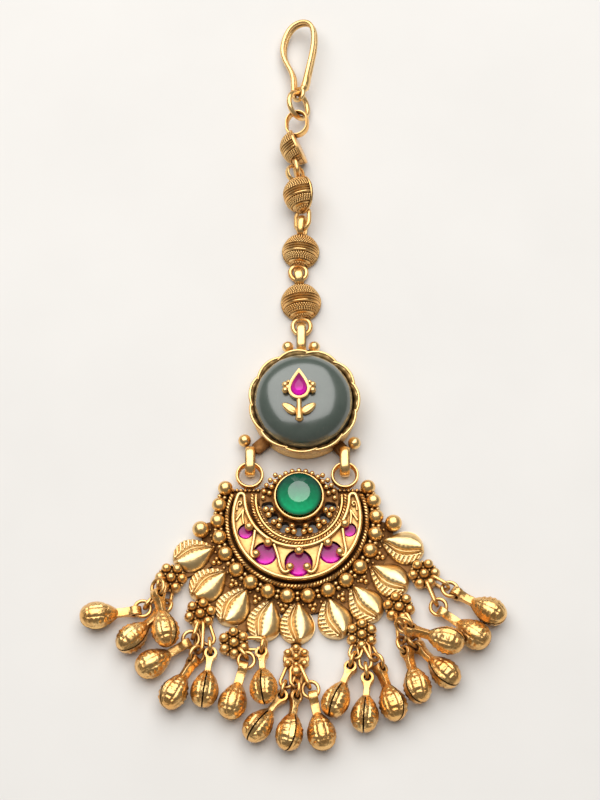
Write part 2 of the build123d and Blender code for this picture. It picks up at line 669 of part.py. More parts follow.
# ---------------------------------------------------------------- one shared move, then write
box = Compound(children=[piece.moved(Location()) for piece in finished]).bounding_box()
shift = Pos(-(box.min.X + box.max.X) / 2, -(box.min.Y + box.max.Y) / 2, -box.min.Z)
for piece in finished:
    placed = piece.moved(shift)
    placed.label = piece.label
    export_step(placed, f"parts/{piece.label}.step")
print(len(finished), "pieces, box", box.size, "shift", shift.position)
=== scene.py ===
"""The looks of a maang tikka in antique gold plate, lying face up on a pale floor.

Shapes are made in millimetres in a working frame whose origin is the centre of the pendant's
circles, with +Y up the chain and +Z out of the face, and are moved to the CAD's frame at the end.
"""

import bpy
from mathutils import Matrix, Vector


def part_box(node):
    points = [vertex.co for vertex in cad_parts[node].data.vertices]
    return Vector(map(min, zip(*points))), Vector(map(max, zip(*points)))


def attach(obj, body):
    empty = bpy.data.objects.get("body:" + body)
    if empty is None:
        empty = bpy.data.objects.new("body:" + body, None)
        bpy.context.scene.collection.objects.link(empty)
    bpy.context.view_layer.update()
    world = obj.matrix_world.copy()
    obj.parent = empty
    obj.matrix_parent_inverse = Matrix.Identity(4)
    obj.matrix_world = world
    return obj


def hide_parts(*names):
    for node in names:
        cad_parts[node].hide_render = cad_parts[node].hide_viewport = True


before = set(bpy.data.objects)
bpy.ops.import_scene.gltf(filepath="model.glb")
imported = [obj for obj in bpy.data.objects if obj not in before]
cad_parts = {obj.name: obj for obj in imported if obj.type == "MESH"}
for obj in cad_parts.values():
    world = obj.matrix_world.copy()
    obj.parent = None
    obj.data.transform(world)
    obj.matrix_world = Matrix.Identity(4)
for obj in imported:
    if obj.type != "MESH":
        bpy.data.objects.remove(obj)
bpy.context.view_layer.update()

from math import atan2, cos, degrees, exp, hypot, pi, radians, sin, sqrt

import bmesh
import bpy
from mathutils import Matrix, Vector

show = bpy.context.scene.collection.objects.link

# -------- the working frame
MM = 0.001
GREEN_CENTRE = (0.3, 3.1)  # of the green stone, from the pendant's centre
green_low, green_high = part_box("green_stone")
ORIGIN = Vector(((green_low[0] + green_high[0]) / 2 - GREEN_CENTRE[0] * MM,
                 (green_low[1] + green_high[1]) / 2 - GREEN_CENTRE[1] * MM, 0))
TO_FRAME = Matrix.Translation(ORIGIN) @ Matrix.Scale(MM, 4)


def box_mm(node):
    """Lowest corner and highest corner of a CAD node in the working frame."""
    return [(Vector(corner) - ORIGIN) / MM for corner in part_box(node)]


def ray(radius, angle):
    """Point at a radius from the pendant's centre, at an angle from straight down."""
    return radius * sin(radians(angle)), -radius * cos(radians(angle))


def step(x, y, heading, distance):
    return x + distance * cos(radians(heading)), y + distance * sin(radians(heading))


def turn(angle, axis):
    return Matrix.Rotation(radians(angle), 4, axis)


def at(x, y, z=0.0):
    return Matrix.Translation((x, y, z))


def posed(x, y, z, lean=0, roll=0, pitch=0):
    """Place whose Y follows the chain and whose Z is the face, rolled to the left."""
    return at(x, y, z) @ turn(lean, "Z") @ turn(pitch, "X") @ turn(-roll, "Y")


# -------- camera, floor and light
CAMERA_TILT = 22.0  # from straight down
CAMERA_AWAY = 333.3
CAMERA_AIM = (0.45, 19.5, 0.0)
CAMERA_LENS = 100
SENSOR_WIDTH = 36
LAMP_COLOUR = (1.0, 0.985, 0.96)
WORLD_COLOUR = (0.92, 0.87, 0.80)
WORLD_STRENGTH = 0.21

camera = bpy.data.objects.new("camera", bpy.data.cameras.new("camera"))
camera.data.lens = CAMERA_LENS
camera.data.sensor_width = SENSOR_WIDTH
camera.data.clip_start = 0.01
camera.data.clip_end = 20
aim = TO_FRAME @ Vector(CAMERA_AIM)
camera_turn = Matrix.Rotation(radians(CAMERA_TILT), 3, "X")
camera.location = aim + camera_turn @ Vector((0, 0, CAMERA_AWAY * MM))
camera.rotation_euler = (radians(CAMERA_TILT), 0, 0)
show(camera)
bpy.context.scene.camera = camera


def add_lamp(name, place, size, power, colour):
    """An area lamp aimed at the middle of the ornament; place is in metres from there."""
    data = bpy.data.lights.new(name, "AREA")
    data.shape = "RECTANGLE"
    data.size, data.size_y = size
    data.energy = power
    data.color = colour
    lamp = bpy.data.objects.new(name, data)
    lamp.location = aim + Vector(place)
    lamp.rotation_euler = (-Vector(place)).to_track_quat("-Z", "Y").to_euler()
    show(lamp)


add_lamp("softbox_above", (-0.06, 0.28, 0.60), (1.02, 0.98), 8.0, LAMP_COLOUR)

world = bpy.data.worlds.new("studio")
bpy.context.scene.world = world
world.use_nodes = True
for name, value in (("Color", (*WORLD_COLOUR, 1)), ("Strength", WORLD_STRENGTH)):
    world.node_tree.nodes["Background"].inputs[name].default_value = value
bpy.context.scene.view_settings.view_transform = "Standard"


# -------- materials
PAINTED_SHADE_FULL = 0.16  # openness at which a hollow is fully brown with patina and painted shade
HOLLOW_ROUGHNESS = 0.62
PATCH_SCALE = 420


def new_material(name):
    material = bpy.data.materials.new(name)
    material.use_nodes = True
    return material, material.node_tree, material.node_tree.nodes["Principled BSDF"]


def add_node(tree, kind, **settings):
    node = tree.nodes.new(kind)
    for name, value in settings.items():
        setattr(node, name, value)
    return node


def set_inputs(node, values):
    for name, value in values.items():
        node.inputs[name].default_value = value


def ramp(tree, source, stops):
    """A colour ramp on a value; stops are (place, colour)."""
    node = add_node(tree, "ShaderNodeValToRGB")
    elements = node.color_ramp.elements
    while len(elements) < len(stops):
        elements.new(0.5)
    for element, (place, colour) in zip(elements, stops):
        element.position = place
        element.color = (*colour, 1)
    tree.links.new(source, node.inputs["Fac"])
    return node.outputs["Color"]


def noise(tree, scale, detail=3, roughness=0.55):
    """Noise on Object coordinates, so that it stays on the piece."""
    place = add_node(tree, "ShaderNodeTexCoord")
    node = add_node(tree, "ShaderNodeTexNoise")
    set_inputs(node, {"Scale": scale, "Detail": detail, "Roughness": roughness})
    tree.links.new(place.outputs["Object"], node.inputs["Vector"])
    return node.outputs["Fac"]


def mixed(tree, factor, first, second, blend="MIX"):
    """Mix of two colours; each is a socket or a plain colour."""
    node = add_node(tree, "ShaderNodeMix", data_type="RGBA", blend_type=blend)
    sockets = node.inputs[0], node.inputs[6], node.inputs[7]
    for socket, value in zip(sockets, (factor, first, second)):
        if isinstance(value, bpy.types.NodeSocket):
            tree.links.new(value, socket)
        elif isinstance(value, tuple):
            socket.default_value = (*value, 1)
        else:
            socket.default_value = value
    return node.outputs[2]


def plating_group():
    """Cast-metal surface shared by the gold finishes: patina and painted shade in the hollows,
    wear, grain and a fine bump.
    """
    group = bpy.data.node_groups.new("plating", "ShaderNodeTree")
    for name in ("Shade reach", "Shade start", "Grain scale", "Bump height"):
        group.interface.new_socket(name, in_out="INPUT", socket_type="NodeSocketFloat")
    for name, kind in (("Patina and shade", "NodeSocketFloat"), ("Patch", "NodeSocketFloat"),
                       ("Grain", "NodeSocketFloat"), ("Normal", "NodeSocketVector")):
        group.interface.new_socket(name, in_out="OUTPUT", socket_type=kind)
    inside = add_node(group, "NodeGroupInput")
    outside = add_node(group, "NodeGroupOutput")
    link = group.links.new
    place = add_node(group, "ShaderNodeTexCoord")
    # Painted shade: ambient occlusion darkens the hollows, as patina and as shade.
    shade = add_node(group, "ShaderNodeAmbientOcclusion", samples=8)
    link(inside.outputs["Shade reach"], shade.inputs["Distance"])
    spread = add_node(group, "ShaderNodeMapRange", clamp=True)
    set_inputs(spread, {"From Min": PAINTED_SHADE_FULL, "To Min": 1.0, "To Max": 0.0})
    link(inside.outputs["Shade start"], spread.inputs["From Max"])
    link(shade.outputs["AO"], spread.inputs["Value"])
    link(spread.outputs["Result"], outside.inputs["Patina and shade"])
    patch = add_node(group, "ShaderNodeTexNoise")
    set_inputs(patch, {"Scale": PATCH_SCALE, "Detail": 2})
    link(place.outputs["Object"], patch.inputs["Vector"])
    link(patch.outputs["Fac"], outside.inputs["Patch"])
    grain = add_node(group, "ShaderNodeTexNoise")
    set_inputs(grain, {"Detail": 4})
    link(place.outputs["Object"], grain.inputs["Vector"])
    link(inside.outputs["Grain scale"], grain.inputs["Scale"])
    link(grain.outputs["Fac"], outside.inputs["Grain"])
    bump = add_node(group, "ShaderNodeBump")
    link(grain.outputs["Fac"], bump.inputs["Height"])
    link(inside.outputs["Bump height"], bump.inputs["Distance"])
    link(bump.outputs["Normal"], outside.inputs["Normal"])
    return group


PLATING = plating_group()


def gold_finish(name, bright, deep, hollow_patina_and_shade, reach, start, grain, bump, rough):
    """Gold plate: bright colour, patchy deeper colour, and brown patina with painted shade in the
    hollows.
    """
    material, tree, shader = new_material(name)
    group = add_node(tree, "ShaderNodeGroup", node_tree=PLATING)
    set_inputs(group, {"Shade reach": reach, "Shade start": start, "Grain scale": grain,
                       "Bump height": bump})
    patches = ramp(tree, group.outputs["Patch"], [(0.35, bright), (0.68, deep)])
    # The hollows take the brown colour: patina and painted shade.
    colour = mixed(tree, group.outputs["Patina and shade"], patches, hollow_patina_and_shade)
    tree.links.new(colour, shader.inputs["Base Color"])
    sheen = ramp(tree, group.outputs["Grain"], [(0.3, (rough[0],) * 3), (0.75, (rough[1],) * 3)])
    dull = mixed(tree, group.outputs["Patina and shade"], sheen, (HOLLOW_ROUGHNESS,) * 3)
    tree.links.new(dull, shader.inputs["Roughness"])
    tree.links.new(group.outputs["Normal"], shader.inputs["Normal"])
    set_inputs(shader, {"Metallic": 1.0})
    return material


gold = gold_finish(
    "antique_gold", (0.96, 0.63, 0.26), (0.90, 0.50, 0.165), (0.20, 0.072, 0.016),
    reach=0.0010, start=0.90, grain=1800, bump=0.000015, rough=(0.22, 0.36))
gold_bright = gold_finish(
    "burnished_gold", (0.98, 0.68, 0.31), (0.94, 0.58, 0.22), (0.24, 0.09, 0.02),
    reach=0.0008, start=0.84, grain=1500, bump=0.000008, rough=(0.25, 0.35))
gold_satin = gold_finish(
    "satin_gold", (0.86, 0.56, 0.23), (0.78, 0.45, 0.15), (0.22, 0.08, 0.016),
    reach=0.0008, start=0.80, grain=2600, bump=0.00003, rough=(0.42, 0.58))
# Worked gold has the darkest hollows: patina and painted shade in the grooves of the beads and
# rosettes.
gold_worked = gold_finish(
    "worked_gold", (0.96, 0.64, 0.27), (0.90, 0.50, 0.165), (0.10, 0.034, 0.008),
    reach=0.0005, start=0.97, grain=2000, bump=0.00003, rough=(0.24, 0.38))
gold_crinkled = gold_finish(
    "crinkled_gold", (0.96, 0.63, 0.26), (0.88, 0.46, 0.14), (0.15, 0.05, 0.010),
    reach=0.0011, start=0.98, grain=1300, bump=0.00016, rough=(0.20, 0.36))
# A paler, rougher copy of the gold for the leaves: the paleness is a painted highlight.
gold_soft_lit = gold_finish(
    "soft_lit_gold", (0.99, 0.75, 0.40), (0.95, 0.63, 0.26), (0.13, 0.045, 0.010),
    reach=0.0005, start=0.92, grain=2600, bump=0.00003, rough=(0.28, 0.40))
# A dark copy of the gold: painted shade on the plate under the balls and leaves, and on the
# medallion's lugs.
gold_shaded_dark = gold_finish(
    "recessed_shaded_gold", (0.32, 0.155, 0.054), (0.20, 0.086, 0.028), (0.048, 0.018, 0.006),
    reach=0.0014, start=0.92, grain=2200, bump=0.00010, rough=(0.40, 0.62))

stone, tree, shader = new_material("polished_grey_stone")
clouds = ramp(tree, noise(tree, 260, 3, 0.6), [(0.30, (0.060, 0.084, 0.070)),
                                               (0.72, (0.082, 0.106, 0.090))])
flecks = ramp(tree, noise(tree, 2400, 2), [(0.62, (0, 0, 0)), (0.75, (1, 1, 1))])
tree.links.new(mixed(tree, flecks, clouds, (0.085, 0.10, 0.088)), shader.inputs["Base Color"])
set_inputs(shader, {"Roughness": 0.24, "Coat Weight": 0.8, "Coat Roughness": 0.14, "IOR": 1.75})


def glass_finish(name, stops, shaded_rim, ior, coat):
    """Coloured glass with a painted glow towards the low end of its own map and painted shade round
    its edge.
    """
    material, tree, shader = new_material(name)
    plan = add_node(tree, "ShaderNodeUVMap", uv_map="plan")
    parts = add_node(tree, "ShaderNodeSeparateXYZ")
    tree.links.new(plan.outputs["UV"], parts.inputs["Vector"])
    # Random tone plus a painted glow that grows towards the low end of the map.
    uneven_and_glow = add_node(tree, "ShaderNodeMath", operation="MULTIPLY_ADD")
    tree.links.new(noise(tree, 1600, 2), uneven_and_glow.inputs[0])
    uneven_and_glow.inputs[1].default_value = 0.22
    tree.links.new(parts.outputs["Y"], uneven_and_glow.inputs[2])
    away = add_node(tree, "ShaderNodeVectorMath", operation="DISTANCE")
    away.inputs[1].default_value = (0.5, 0.5, 0)
    tree.links.new(plan.outputs["UV"], away.inputs[0])
    # Painted shade: the rim of each stone is darkened.
    edge = ramp(tree, away.outputs["Value"], [(0.42, (1, 1, 1)), (0.50, shaded_rim)])
    tree.links.new(mixed(tree, 1.0, ramp(tree, uneven_and_glow.outputs["Value"], stops), edge, "MULTIPLY"),
                   shader.inputs["Base Color"])
    set_inputs(shader, {"Roughness": 0.05, "Transmission Weight": 0.0, "IOR": ior,
                        "Coat Weight": coat, "Coat Roughness": 0.04})
    return material


# Painted glow: bright green at the stone's low end, darker green above; painted shade round its
# rim.
green_glass = glass_finish(
    "green_glass",
    [(0.16, (0.0, 0.66, 0.26)), (0.50, (0.0, 0.27, 0.11)), (0.85, (0.003, 0.08, 0.045))],
    shaded_rim=(0.05, 0.14, 0.14), ior=1.7, coat=0.7)
# Painted glow: bright magenta at each pink stone's low end, darker above; painted shade round its
# rim.
pink_glass = glass_finish(
    "pink_glass",
    [(0.20, (1.0, 0.010, 0.70)), (0.48, (0.50, 0.018, 0.27)), (0.95, (0.20, 0.012, 0.10))],
    shaded_rim=(0.60, 0.5, 0.55), ior=1.42, coat=0.0)

floor_material, tree, shader = new_material("pale_floor")
mottle = ramp(tree, noise(tree, 35, 3), [(0.3, (0.77, 0.76, 0.745)), (0.7, (0.80, 0.79, 0.775))])
tree.links.new(mottle, shader.inputs["Base Color"])
set_inputs(shader, {"Roughness": 0.85})

floor_bm = bmesh.new()
bmesh.ops.create_grid(floor_bm, x_segments=2, y_segments=2, size=1.6)
floor_mesh = bpy.data.meshes.new("floor")
floor_bm.to_mesh(floor_mesh)
floor_bm.free()
floor_mesh.materials.append(floor_material)
floor = bpy.data.objects.new("floor", floor_mesh)
show(floor)

# -------- making shapes
FINE = 1e-4  # points nearer than this are one, in mm
MERGE = 2e-6  # the same for a finished piece, in metres


def master(part):
    """Keep a bmesh as a mesh that can be put in many places."""
    mesh = bpy.data.meshes.new("part")
    part.to_mesh(mesh)
    part.free()
    return mesh


def put_copy(bm, mesh, place):
    copy = mesh.copy()
    copy.transform(place)
    bm.from_mesh(copy)
    bpy.data.meshes.remove(copy)


def put(bm, part, place=Matrix()):
    """Add one bmesh to another at a place, and free it."""
    mesh = master(part)
    put_copy(bm, mesh, place)
    bpy.data.meshes.remove(mesh)


def put_curve(bm, curve, place):
    """Add a curve's surface to a bmesh."""
    holder = bpy.data.objects.new("curve", curve)
    mesh = bpy.data.meshes.new_from_object(holder)
    mesh.transform(place)
    bm.from_mesh(mesh)
    bpy.data.objects.remove(holder)
    bpy.data.curves.remove(curve)
    bpy.data.meshes.remove(mesh)


def new_curve(loops, closed, kind="POLY"):
    curve = bpy.data.curves.new("curve", "CURVE")
    curve.dimensions = "3D"
    curve.resolution_u = 8
    for points in loops:
        spline = curve.splines.new(kind)
        spline.points.add(len(points) - 1)
        for point, co in zip(spline.points, points):
            point.co = (*co, 0, 1) if len(co) == 2 else (*co, 1)
        spline.use_cyclic_u = closed
        if kind == "NURBS":
            spline.order_u = 4
            spline.use_endpoint_u = not closed
    return curve


def add_wire(bm, points, radius, closed=False, kind="NURBS", sides=3, place=Matrix(), swells=()):
    """A round wire along points in three dimensions; swells widen it point by point."""
    curve = new_curve([points], closed, kind)
    curve.bevel_depth = radius
    curve.bevel_resolution = sides
    curve.use_fill_caps = not closed
    for spline in curve.splines:
        for point, swell in zip(spline.points, swells):
            point.radius = swell
    put_curve(bm, curve, place)


def add_flat(bm, outline, holes=(), bottom=0.0, top=0.5, edge=0.06, place=Matrix()):
    """A flat plate with holes and soft edges; outline and holes are points in plan."""
    curve = new_curve([outline, *holes], True)
    curve.dimensions = "2D"
    curve.fill_mode = "BOTH"
    curve.extrude = (top - bottom) / 2 - edge
    curve.bevel_depth = edge
    curve.bevel_resolution = 1
    put_curve(bm, curve, place @ at(0, 0, (top + bottom) / 2))


def add_turned(bm, profile, steps=64, place=Matrix(), arc=360.0, shape=None, close=False):
    """A profile of (radius, height) spun about Z, with an optional change to each point."""
    part = bmesh.new()
    verts = [part.verts.new((radius, 0, height)) for radius, height in profile]
    edges = [part.edges.new(pair) for pair in zip(verts, verts[1:])]
    bmesh.ops.spin(part, geom=verts + edges, cent=(0, 0, 0), axis=(0, 0, 1), angle=radians(arc),
                   steps=steps, use_merge=arc == 360.0)
    bmesh.ops.remove_doubles(part, verts=part.verts, dist=FINE)
    if close:
        bmesh.ops.holes_fill(part, edges=part.edges, sides=0)
    if shape:
        for vert in part.verts:
            vert.co = shape(vert.co)
    put(bm, part, place)


spheres = {}


def add_ball(bm, centre, radius, around=20, up=12):
    """A ball, copied from one master of each fineness."""
    if (around, up) not in spheres:
        sphere = bmesh.new()
        bmesh.ops.create_uvsphere(sphere, u_segments=around, v_segments=up, radius=1)
        spheres[around, up] = master(sphere)
    put_copy(bm, spheres[around, up], Matrix.Translation(centre) @ Matrix.Scale(radius, 4))


def add_grain(bm, centre, radius):
    add_ball(bm, centre, radius, 8, 6)


def add_small_ball(bm, centre, radius):
    add_ball(bm, centre, radius, 12, 8)


def round_points(radius, count=32, centre=(0, 0), start=0.0, arc=360.0):
    """Points on a circle, or on an arc of it with both ends."""
    last = count if arc == 360.0 else count - 1
    return [step(*centre, start + arc * index / last, radius) for index in range(count)]


def oval_points(length, width, count=40):
    """A ring of points with two straight sides, long along Y."""
    radius, straight = width / 2, (length - width) / 2
    points = []
    for index in range(count):
        angle = 2 * pi * index / count
        shift = straight if sin(angle) >= 0 else -straight
        points.append((radius * cos(angle), radius * sin(angle) + shift, 0))
    return points


def add_ring(bm, place, length, width, wire, sides=4):
    """A ring of round wire; length and width are to the outside."""
    add_wire(bm, oval_points(length - wire, width - wire), wire / 2, True, "POLY", sides, place)


def box_points(length, height, corner, count=6):
    """A rectangle with round corners."""
    points = []
    for quarter, (sx, sy) in enumerate(((1, 1), (-1, 1), (-1, -1), (1, -1))):
        centre = (sx * (length / 2 - corner), sy * (height / 2 - corner))
        points += round_points(corner, count, centre, 90.0 * quarter, 90.0)
    return points


def add_strap(bm, place, length, height, width, sheet=0.42):
    """A band bent into a loop; its hole runs along the place's X."""
    widened = place @ Matrix.Diagonal((width / sheet, 1, 1, 1)) @ turn(90, "Y")
    add_ring(bm, widened, length, height, sheet, 5)


def add_rope(bm, centre, radius, start, end, height, thick, pitch=0.95):
    """Two strands twisted along an arc; angles are from straight down."""
    length = radians(abs(end - start)) * radius
    count = max(int(length / pitch * 8), 8)
    for phase in (0, pi):
        points = []
        for index in range(count + 1):
            share = index / count
            angle = radians(start + (end - start) * share)
            wind = phase + 2 * pi * share * length / pitch
            reach = radius + thick / 4 * cos(wind)
            points.append((centre[0] + reach * sin(angle), centre[1] - reach * cos(angle),
                           height + thick / 4 * sin(wind)))
        add_wire(bm, points, thick * 0.25, False, "POLY", 1)


def add_arc_wire(bm, centre, radius, start, end, height, wire, count=48):
    points = []
    for index in range(count):
        angle = radians(start + (end - start) * index / (count - 1))
        points.append((centre[0] + radius * sin(angle), centre[1] - radius * cos(angle), height))
    add_wire(bm, points, wire / 2, False, "POLY")


def finish_piece(name, bm, material, slot, *nodes, sharp=42, flat=False):
    """Move a piece to its place, tidy its mesh and hand it to the frame."""
    bmesh.ops.transform(bm, matrix=TO_FRAME, verts=bm.verts)
    bmesh.ops.remove_doubles(bm, verts=bm.verts, dist=MERGE)
    bmesh.ops.recalc_face_normals(bm, faces=bm.faces)
    mesh = bpy.data.meshes.new(name)
    bm.to_mesh(mesh)
    bm.free()
    for polygon in mesh.polygons:
        polygon.use_smooth = not flat
    if not flat:
        mesh.set_sharp_from_angle(angle=radians(sharp))
    mesh.materials.append(material)
    piece = bpy.data.objects.new(name, mesh)
    show(piece)
    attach(piece, "root")
    if nodes:
        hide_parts(*nodes)


def gold_piece(name, bm, *nodes, material=None, **how):
    finish_piece(name, bm, material or gold, "gold_plate", *nodes, **how)


# -------- pendant plate
PLATE = 0.8
ARM_TOP = 0.7
ARM_START = 13.2  # from the pendant's centre, where the rosettes' arms begin
ARM_WIDTH = 1.5
BALL_ROW_R = 11.6
BALL_ANGLES = (-115, -101.5, -89, -76.8, -63.6, -49.2, -35.3, -21.1, -6.9,
               7.8, 22.8, 37.7, 51.8, 66.2, 79.4, 92.5, 104.6, 116)
BALL_R = 1.10
BALL_Z = 1.5
SMALL_BALL_R = 0.36
END_BALL_REACH = 14.1
END_BALL_R = 1.25
OPENING_ANGLES = (-79, -54, -27, 0, 27, 54, 79)
GX, GY = GREEN_CENTRE
HANG_RINGS = [(-6.95, 6.93), (7.05, 6.93)]
ROSETTES = {
    "C1": (-18.2, -8.8),
    "C2": (-13.9, -14.2),
    "C3": (-9.0, -18.5),
    "C4": (-0.1, -20.8),
    "C5": (9.3, -17.3),
    "C6": (14.7, -13.2),
    "C7": (18.4, -8.2),
}

INNER_PLATE_R = 12.2
OUTER_PLATE_R = 14.1
OUTER_HALF_ARC = 88  # the wider part of the plate ends at this angle
OPENWORK_R = 4.75
OPENWORK_RIM_R = 5.75
OPENING_R = 4.72
OPENWORK_Z = 1.45
PLATE_TOP_Y = 5.0

plate = bmesh.new()
outline = []
for angle in range(-112, 113, 2):
    x, y = ray(OUTER_PLATE_R if abs(angle) <= OUTER_HALF_ARC else INNER_PLATE_R, angle)
    outline.append((x, min(y, PLATE_TOP_Y)))
outline += [(GX + x, GY + y) for x, y in
            (ray(OPENWORK_R, angle) for angle in range(114, 247, 6))]
holes = []
for angle in OPENING_ANGLES:
    x, y = ray(OPENING_R, angle)
    lie = at(GX + x, GY + y) @ turn(angle, "Z")
    holes.append([(lie @ Vector(point))[:2] for point in oval_points(1.85, 1.25, 20)])
add_flat(plate, outline, holes, 0.0, PLATE, 0.05)
openwork = [(GX + x, GY + y) for x, y in
            (ray(OPENWORK_RIM_R, angle) for angle in range(0, 360, 5))]
openwork = [(x, min(y, PLATE_TOP_Y)) for x, y in openwork]
add_flat(plate, openwork, [*holes, round_points(3.2, 48, GREEN_CENTRE)], 0.6, OPENWORK_Z, 0.05)
for x, y in ROSETTES.values():
    reach = hypot(x, y)
    middle, heading = (ARM_START + reach) / 2, degrees(atan2(y, x))
    lie = at(x * middle / reach, y * middle / reach, ARM_TOP / 2) @ turn(heading, "Z")
    arm = Matrix.Diagonal((reach - ARM_START, ARM_WIDTH, ARM_TOP, 1))
    bmesh.ops.create_cube(plate, size=1, matrix=lie @ arm)
# The plate takes the dark copy of the gold as painted shade.
gold_piece("pendant_plate", plate, "pendant_frame", material=gold_shaded_dark)

# -------- balls round the pendant
balls = bmesh.new()
for angle in BALL_ANGLES:
    add_ball(balls, (*ray(BALL_ROW_R, angle), BALL_Z), BALL_R, 28, 18)
    add_ring(balls, at(*ray(BALL_ROW_R, angle), 0.85), 1.85, 1.85, 0.3, 2)
for left, right in zip(BALL_ANGLES, BALL_ANGLES[1:]):
    for reach in (BALL_ROW_R - 0.45, BALL_ROW_R + 0.35):
        add_small_ball(balls, (*ray(reach, (left + right) / 2), 1.25), SMALL_BALL_R)
for angle in (-84, 88):
    add_ball(balls, (*ray(END_BALL_REACH, angle), BALL_Z), END_BALL_R, 28, 18)
gold_piece("pendant_balls", balls, material=gold_bright)

# -------- leaves
LEAVES = [  # angle from straight down, and radius of the pointed end
    (-71, 12.5),
    (-53, 12.6),
    (-35, 12.4),
    (-17, 12.4),
    (0, 12.1),
    (20, 12.3),
    (38, 12.5),
    (56.5, 12.6),
    (75.5, 12.6),
]
LEAF_LENGTH = 6.5
LEAF_BELLY = 3.9
LEAF_HALF = 2.58
LEAF_FLANGE_Z = 0.7
LEAF_DOME = 1.3


def leaf_half_width(along):
    """Half width of a leaf at a distance from its point."""
    if along < LEAF_BELLY:
        return LEAF_HALF * sin(pi / 2 * along / LEAF_BELLY) ** 0.9
    share = (along - LEAF_BELLY) / (LEAF_LENGTH - LEAF_BELLY)
    return LEAF_HALF * max(1 - share ** 2.1, 0) ** 0.62


def ridge(distance, width):
    """A smooth bump, one high at no distance."""
    return exp(-(distance / width) ** 2)


def leaf_height(share, across):
    """Relief of a leaf: share runs from its point to its end, across from -1 to 1."""
    ends = max(min(share / 0.18, (1 - share) / 0.11, 1), 0)
    swell = sin(pi / 2 * ends) ** 0.8
    rib = -0.34 * sin(pi * share ** 0.85)
    if across > rib:
        body = min((across - rib) / (0.97 - rib), 1)
        height = LEAF_DOME * max(sin(pi * (0.17 + 0.83 * body)), 0) ** 0.75
        notch = max(min((body - 0.10) / 0.05, (0.26 - body) / 0.10, 1), 0)
        height -= 0.09 * notch * ends * max(cos(2 * pi * (9.5 * share + 0.9 * across)), 0)
    else:
        brim = min((rib - across) / (rib + 1), 1)
        height = (0.80 - 0.20 * brim) * min((1 - brim) / 0.14, 1) ** 0.5
        field = max(min((brim - 0.26) / 0.10, 1), 0)
        height += field * (0.26 * abs(sin(pi * (10.5 * share - across))) ** 0.7 - 0.17)
    height += 0.15 * ridge(across - rib, 0.045) - 0.20 * ridge(across - rib - 0.11, 0.045)
    height -= 0.22 * ridge(across - rib + 0.12, 0.05)
    return LEAF_FLANGE_Z + swell * height


def new_leaf():
    leaf = bmesh.new()
    bmesh.ops.create_grid(leaf, x_segments=92, y_segments=72, size=1)
    for vert in leaf.verts:
        share, across = 0.5 - 0.5 * cos(pi * (vert.co.x + 1) / 2), vert.co.y
        vert.co = (LEAF_LENGTH * share, across * leaf_half_width(LEAF_LENGTH * share),
                   leaf_height(share, across))
    rim = [edge for edge in leaf.edges if edge.is_boundary]
    skirt = bmesh.ops.extrude_edge_only(leaf, edges=rim)["geom"]
    for vert in skirt:
        if isinstance(vert, bmesh.types.BMVert):
            vert.co.z = 0.1
    bmesh.ops.remove_doubles(leaf, verts=leaf.verts, dist=FINE)
    bmesh.ops.holes_fill(leaf, edges=leaf.edges, sides=0)
    return leaf


leaf = master(new_leaf())
leaves = bmesh.new()
for angle, start in LEAVES:
    put_copy(leaves, leaf, at(*ray(start, angle)) @ turn(angle - 90, "Z"))
    add_small_ball(leaves, (*ray(start + LEAF_LENGTH - 0.45, angle - 1.5), 1.15), SMALL_BALL_R)
# The leaves take the paler gold, a painted highlight.
gold_piece("pendant_leaves", leaves, material=gold_soft_lit, sharp=60)

CLUSTER_Z = 0.95
EDGE_START = 5.1  # first ball along the plate's upper edge, and their pitch
EDGE_PITCH = 0.62

clusters = bmesh.new()
for (first, _), (second, _) in zip(LEAVES, LEAVES[1:]):
    middle = (first + second) / 2
    for reach, side, radius in ((13.0, -1.5, SMALL_BALL_R), (13.0, 1.5, SMALL_BALL_R),
                                (13.65, 0, 0.40)):
        add_small_ball(clusters, (*ray(reach, middle + side), CLUSTER_Z), radius)
for angle in range(-84, 85, 4):
    add_grain(clusters, (*ray(12.75, angle), 0.88), 0.24)
for side in (-1, 1):
    for index in range(8):
        x = side * (EDGE_START + EDGE_PITCH * index)
        add_small_ball(clusters, (x, PLATE_TOP_Y - 0.25, CLUSTER_Z), 0.30)
gold_piece("pendant_clusters", clusters)

# -------- ropes and wires
OUTER_ROPE_R = 10.20
OUTER_ROPE_END = 112
INNER_WIRE_R = 6.32
INNER_WIRE_END = 95
INNER_WIRE_Z = 1.75

ropes = bmesh.new()
add_rope(ropes, (0, 0), OUTER_ROPE_R, -OUTER_ROPE_END, OUTER_ROPE_END, 1.75, 0.72)
add_arc_wire(ropes, (0, 0), OUTER_ROPE_R, -OUTER_ROPE_END, OUTER_ROPE_END, 1.15, 0.7, 96)
add_rope(ropes, GREEN_CENTRE, 6.85, -96, 96, 1.85, 0.62, 0.9)
add_arc_wire(ropes, GREEN_CENTRE, INNER_WIRE_R, -INNER_WIRE_END, INNER_WIRE_END, INNER_WIRE_Z,
             0.44, 64)
for angle in (-INNER_WIRE_END, INNER_WIRE_END):
    x, y = ray(INNER_WIRE_R, angle)
    add_small_ball(ropes, (GX + x, GY + y, INNER_WIRE_Z), 0.27)
add_rope(ropes, GREEN_CENTRE, 5.90, -80, 80, 1.5, 0.40, 0.75)
gold_piece("pendant_ropes", ropes)

granules = bmesh.new()


def add_granule(reach, angle, radius, height=1.85):
    """A granule on a short post in the openwork round the green stone."""
    x, y = ray(reach, angle)
    add_ball(granules, (GX + x, GY + y, height), radius, 14, 10)
    add_grain(granules, (GX + x, GY + y, height - 0.35), radius * 0.9)


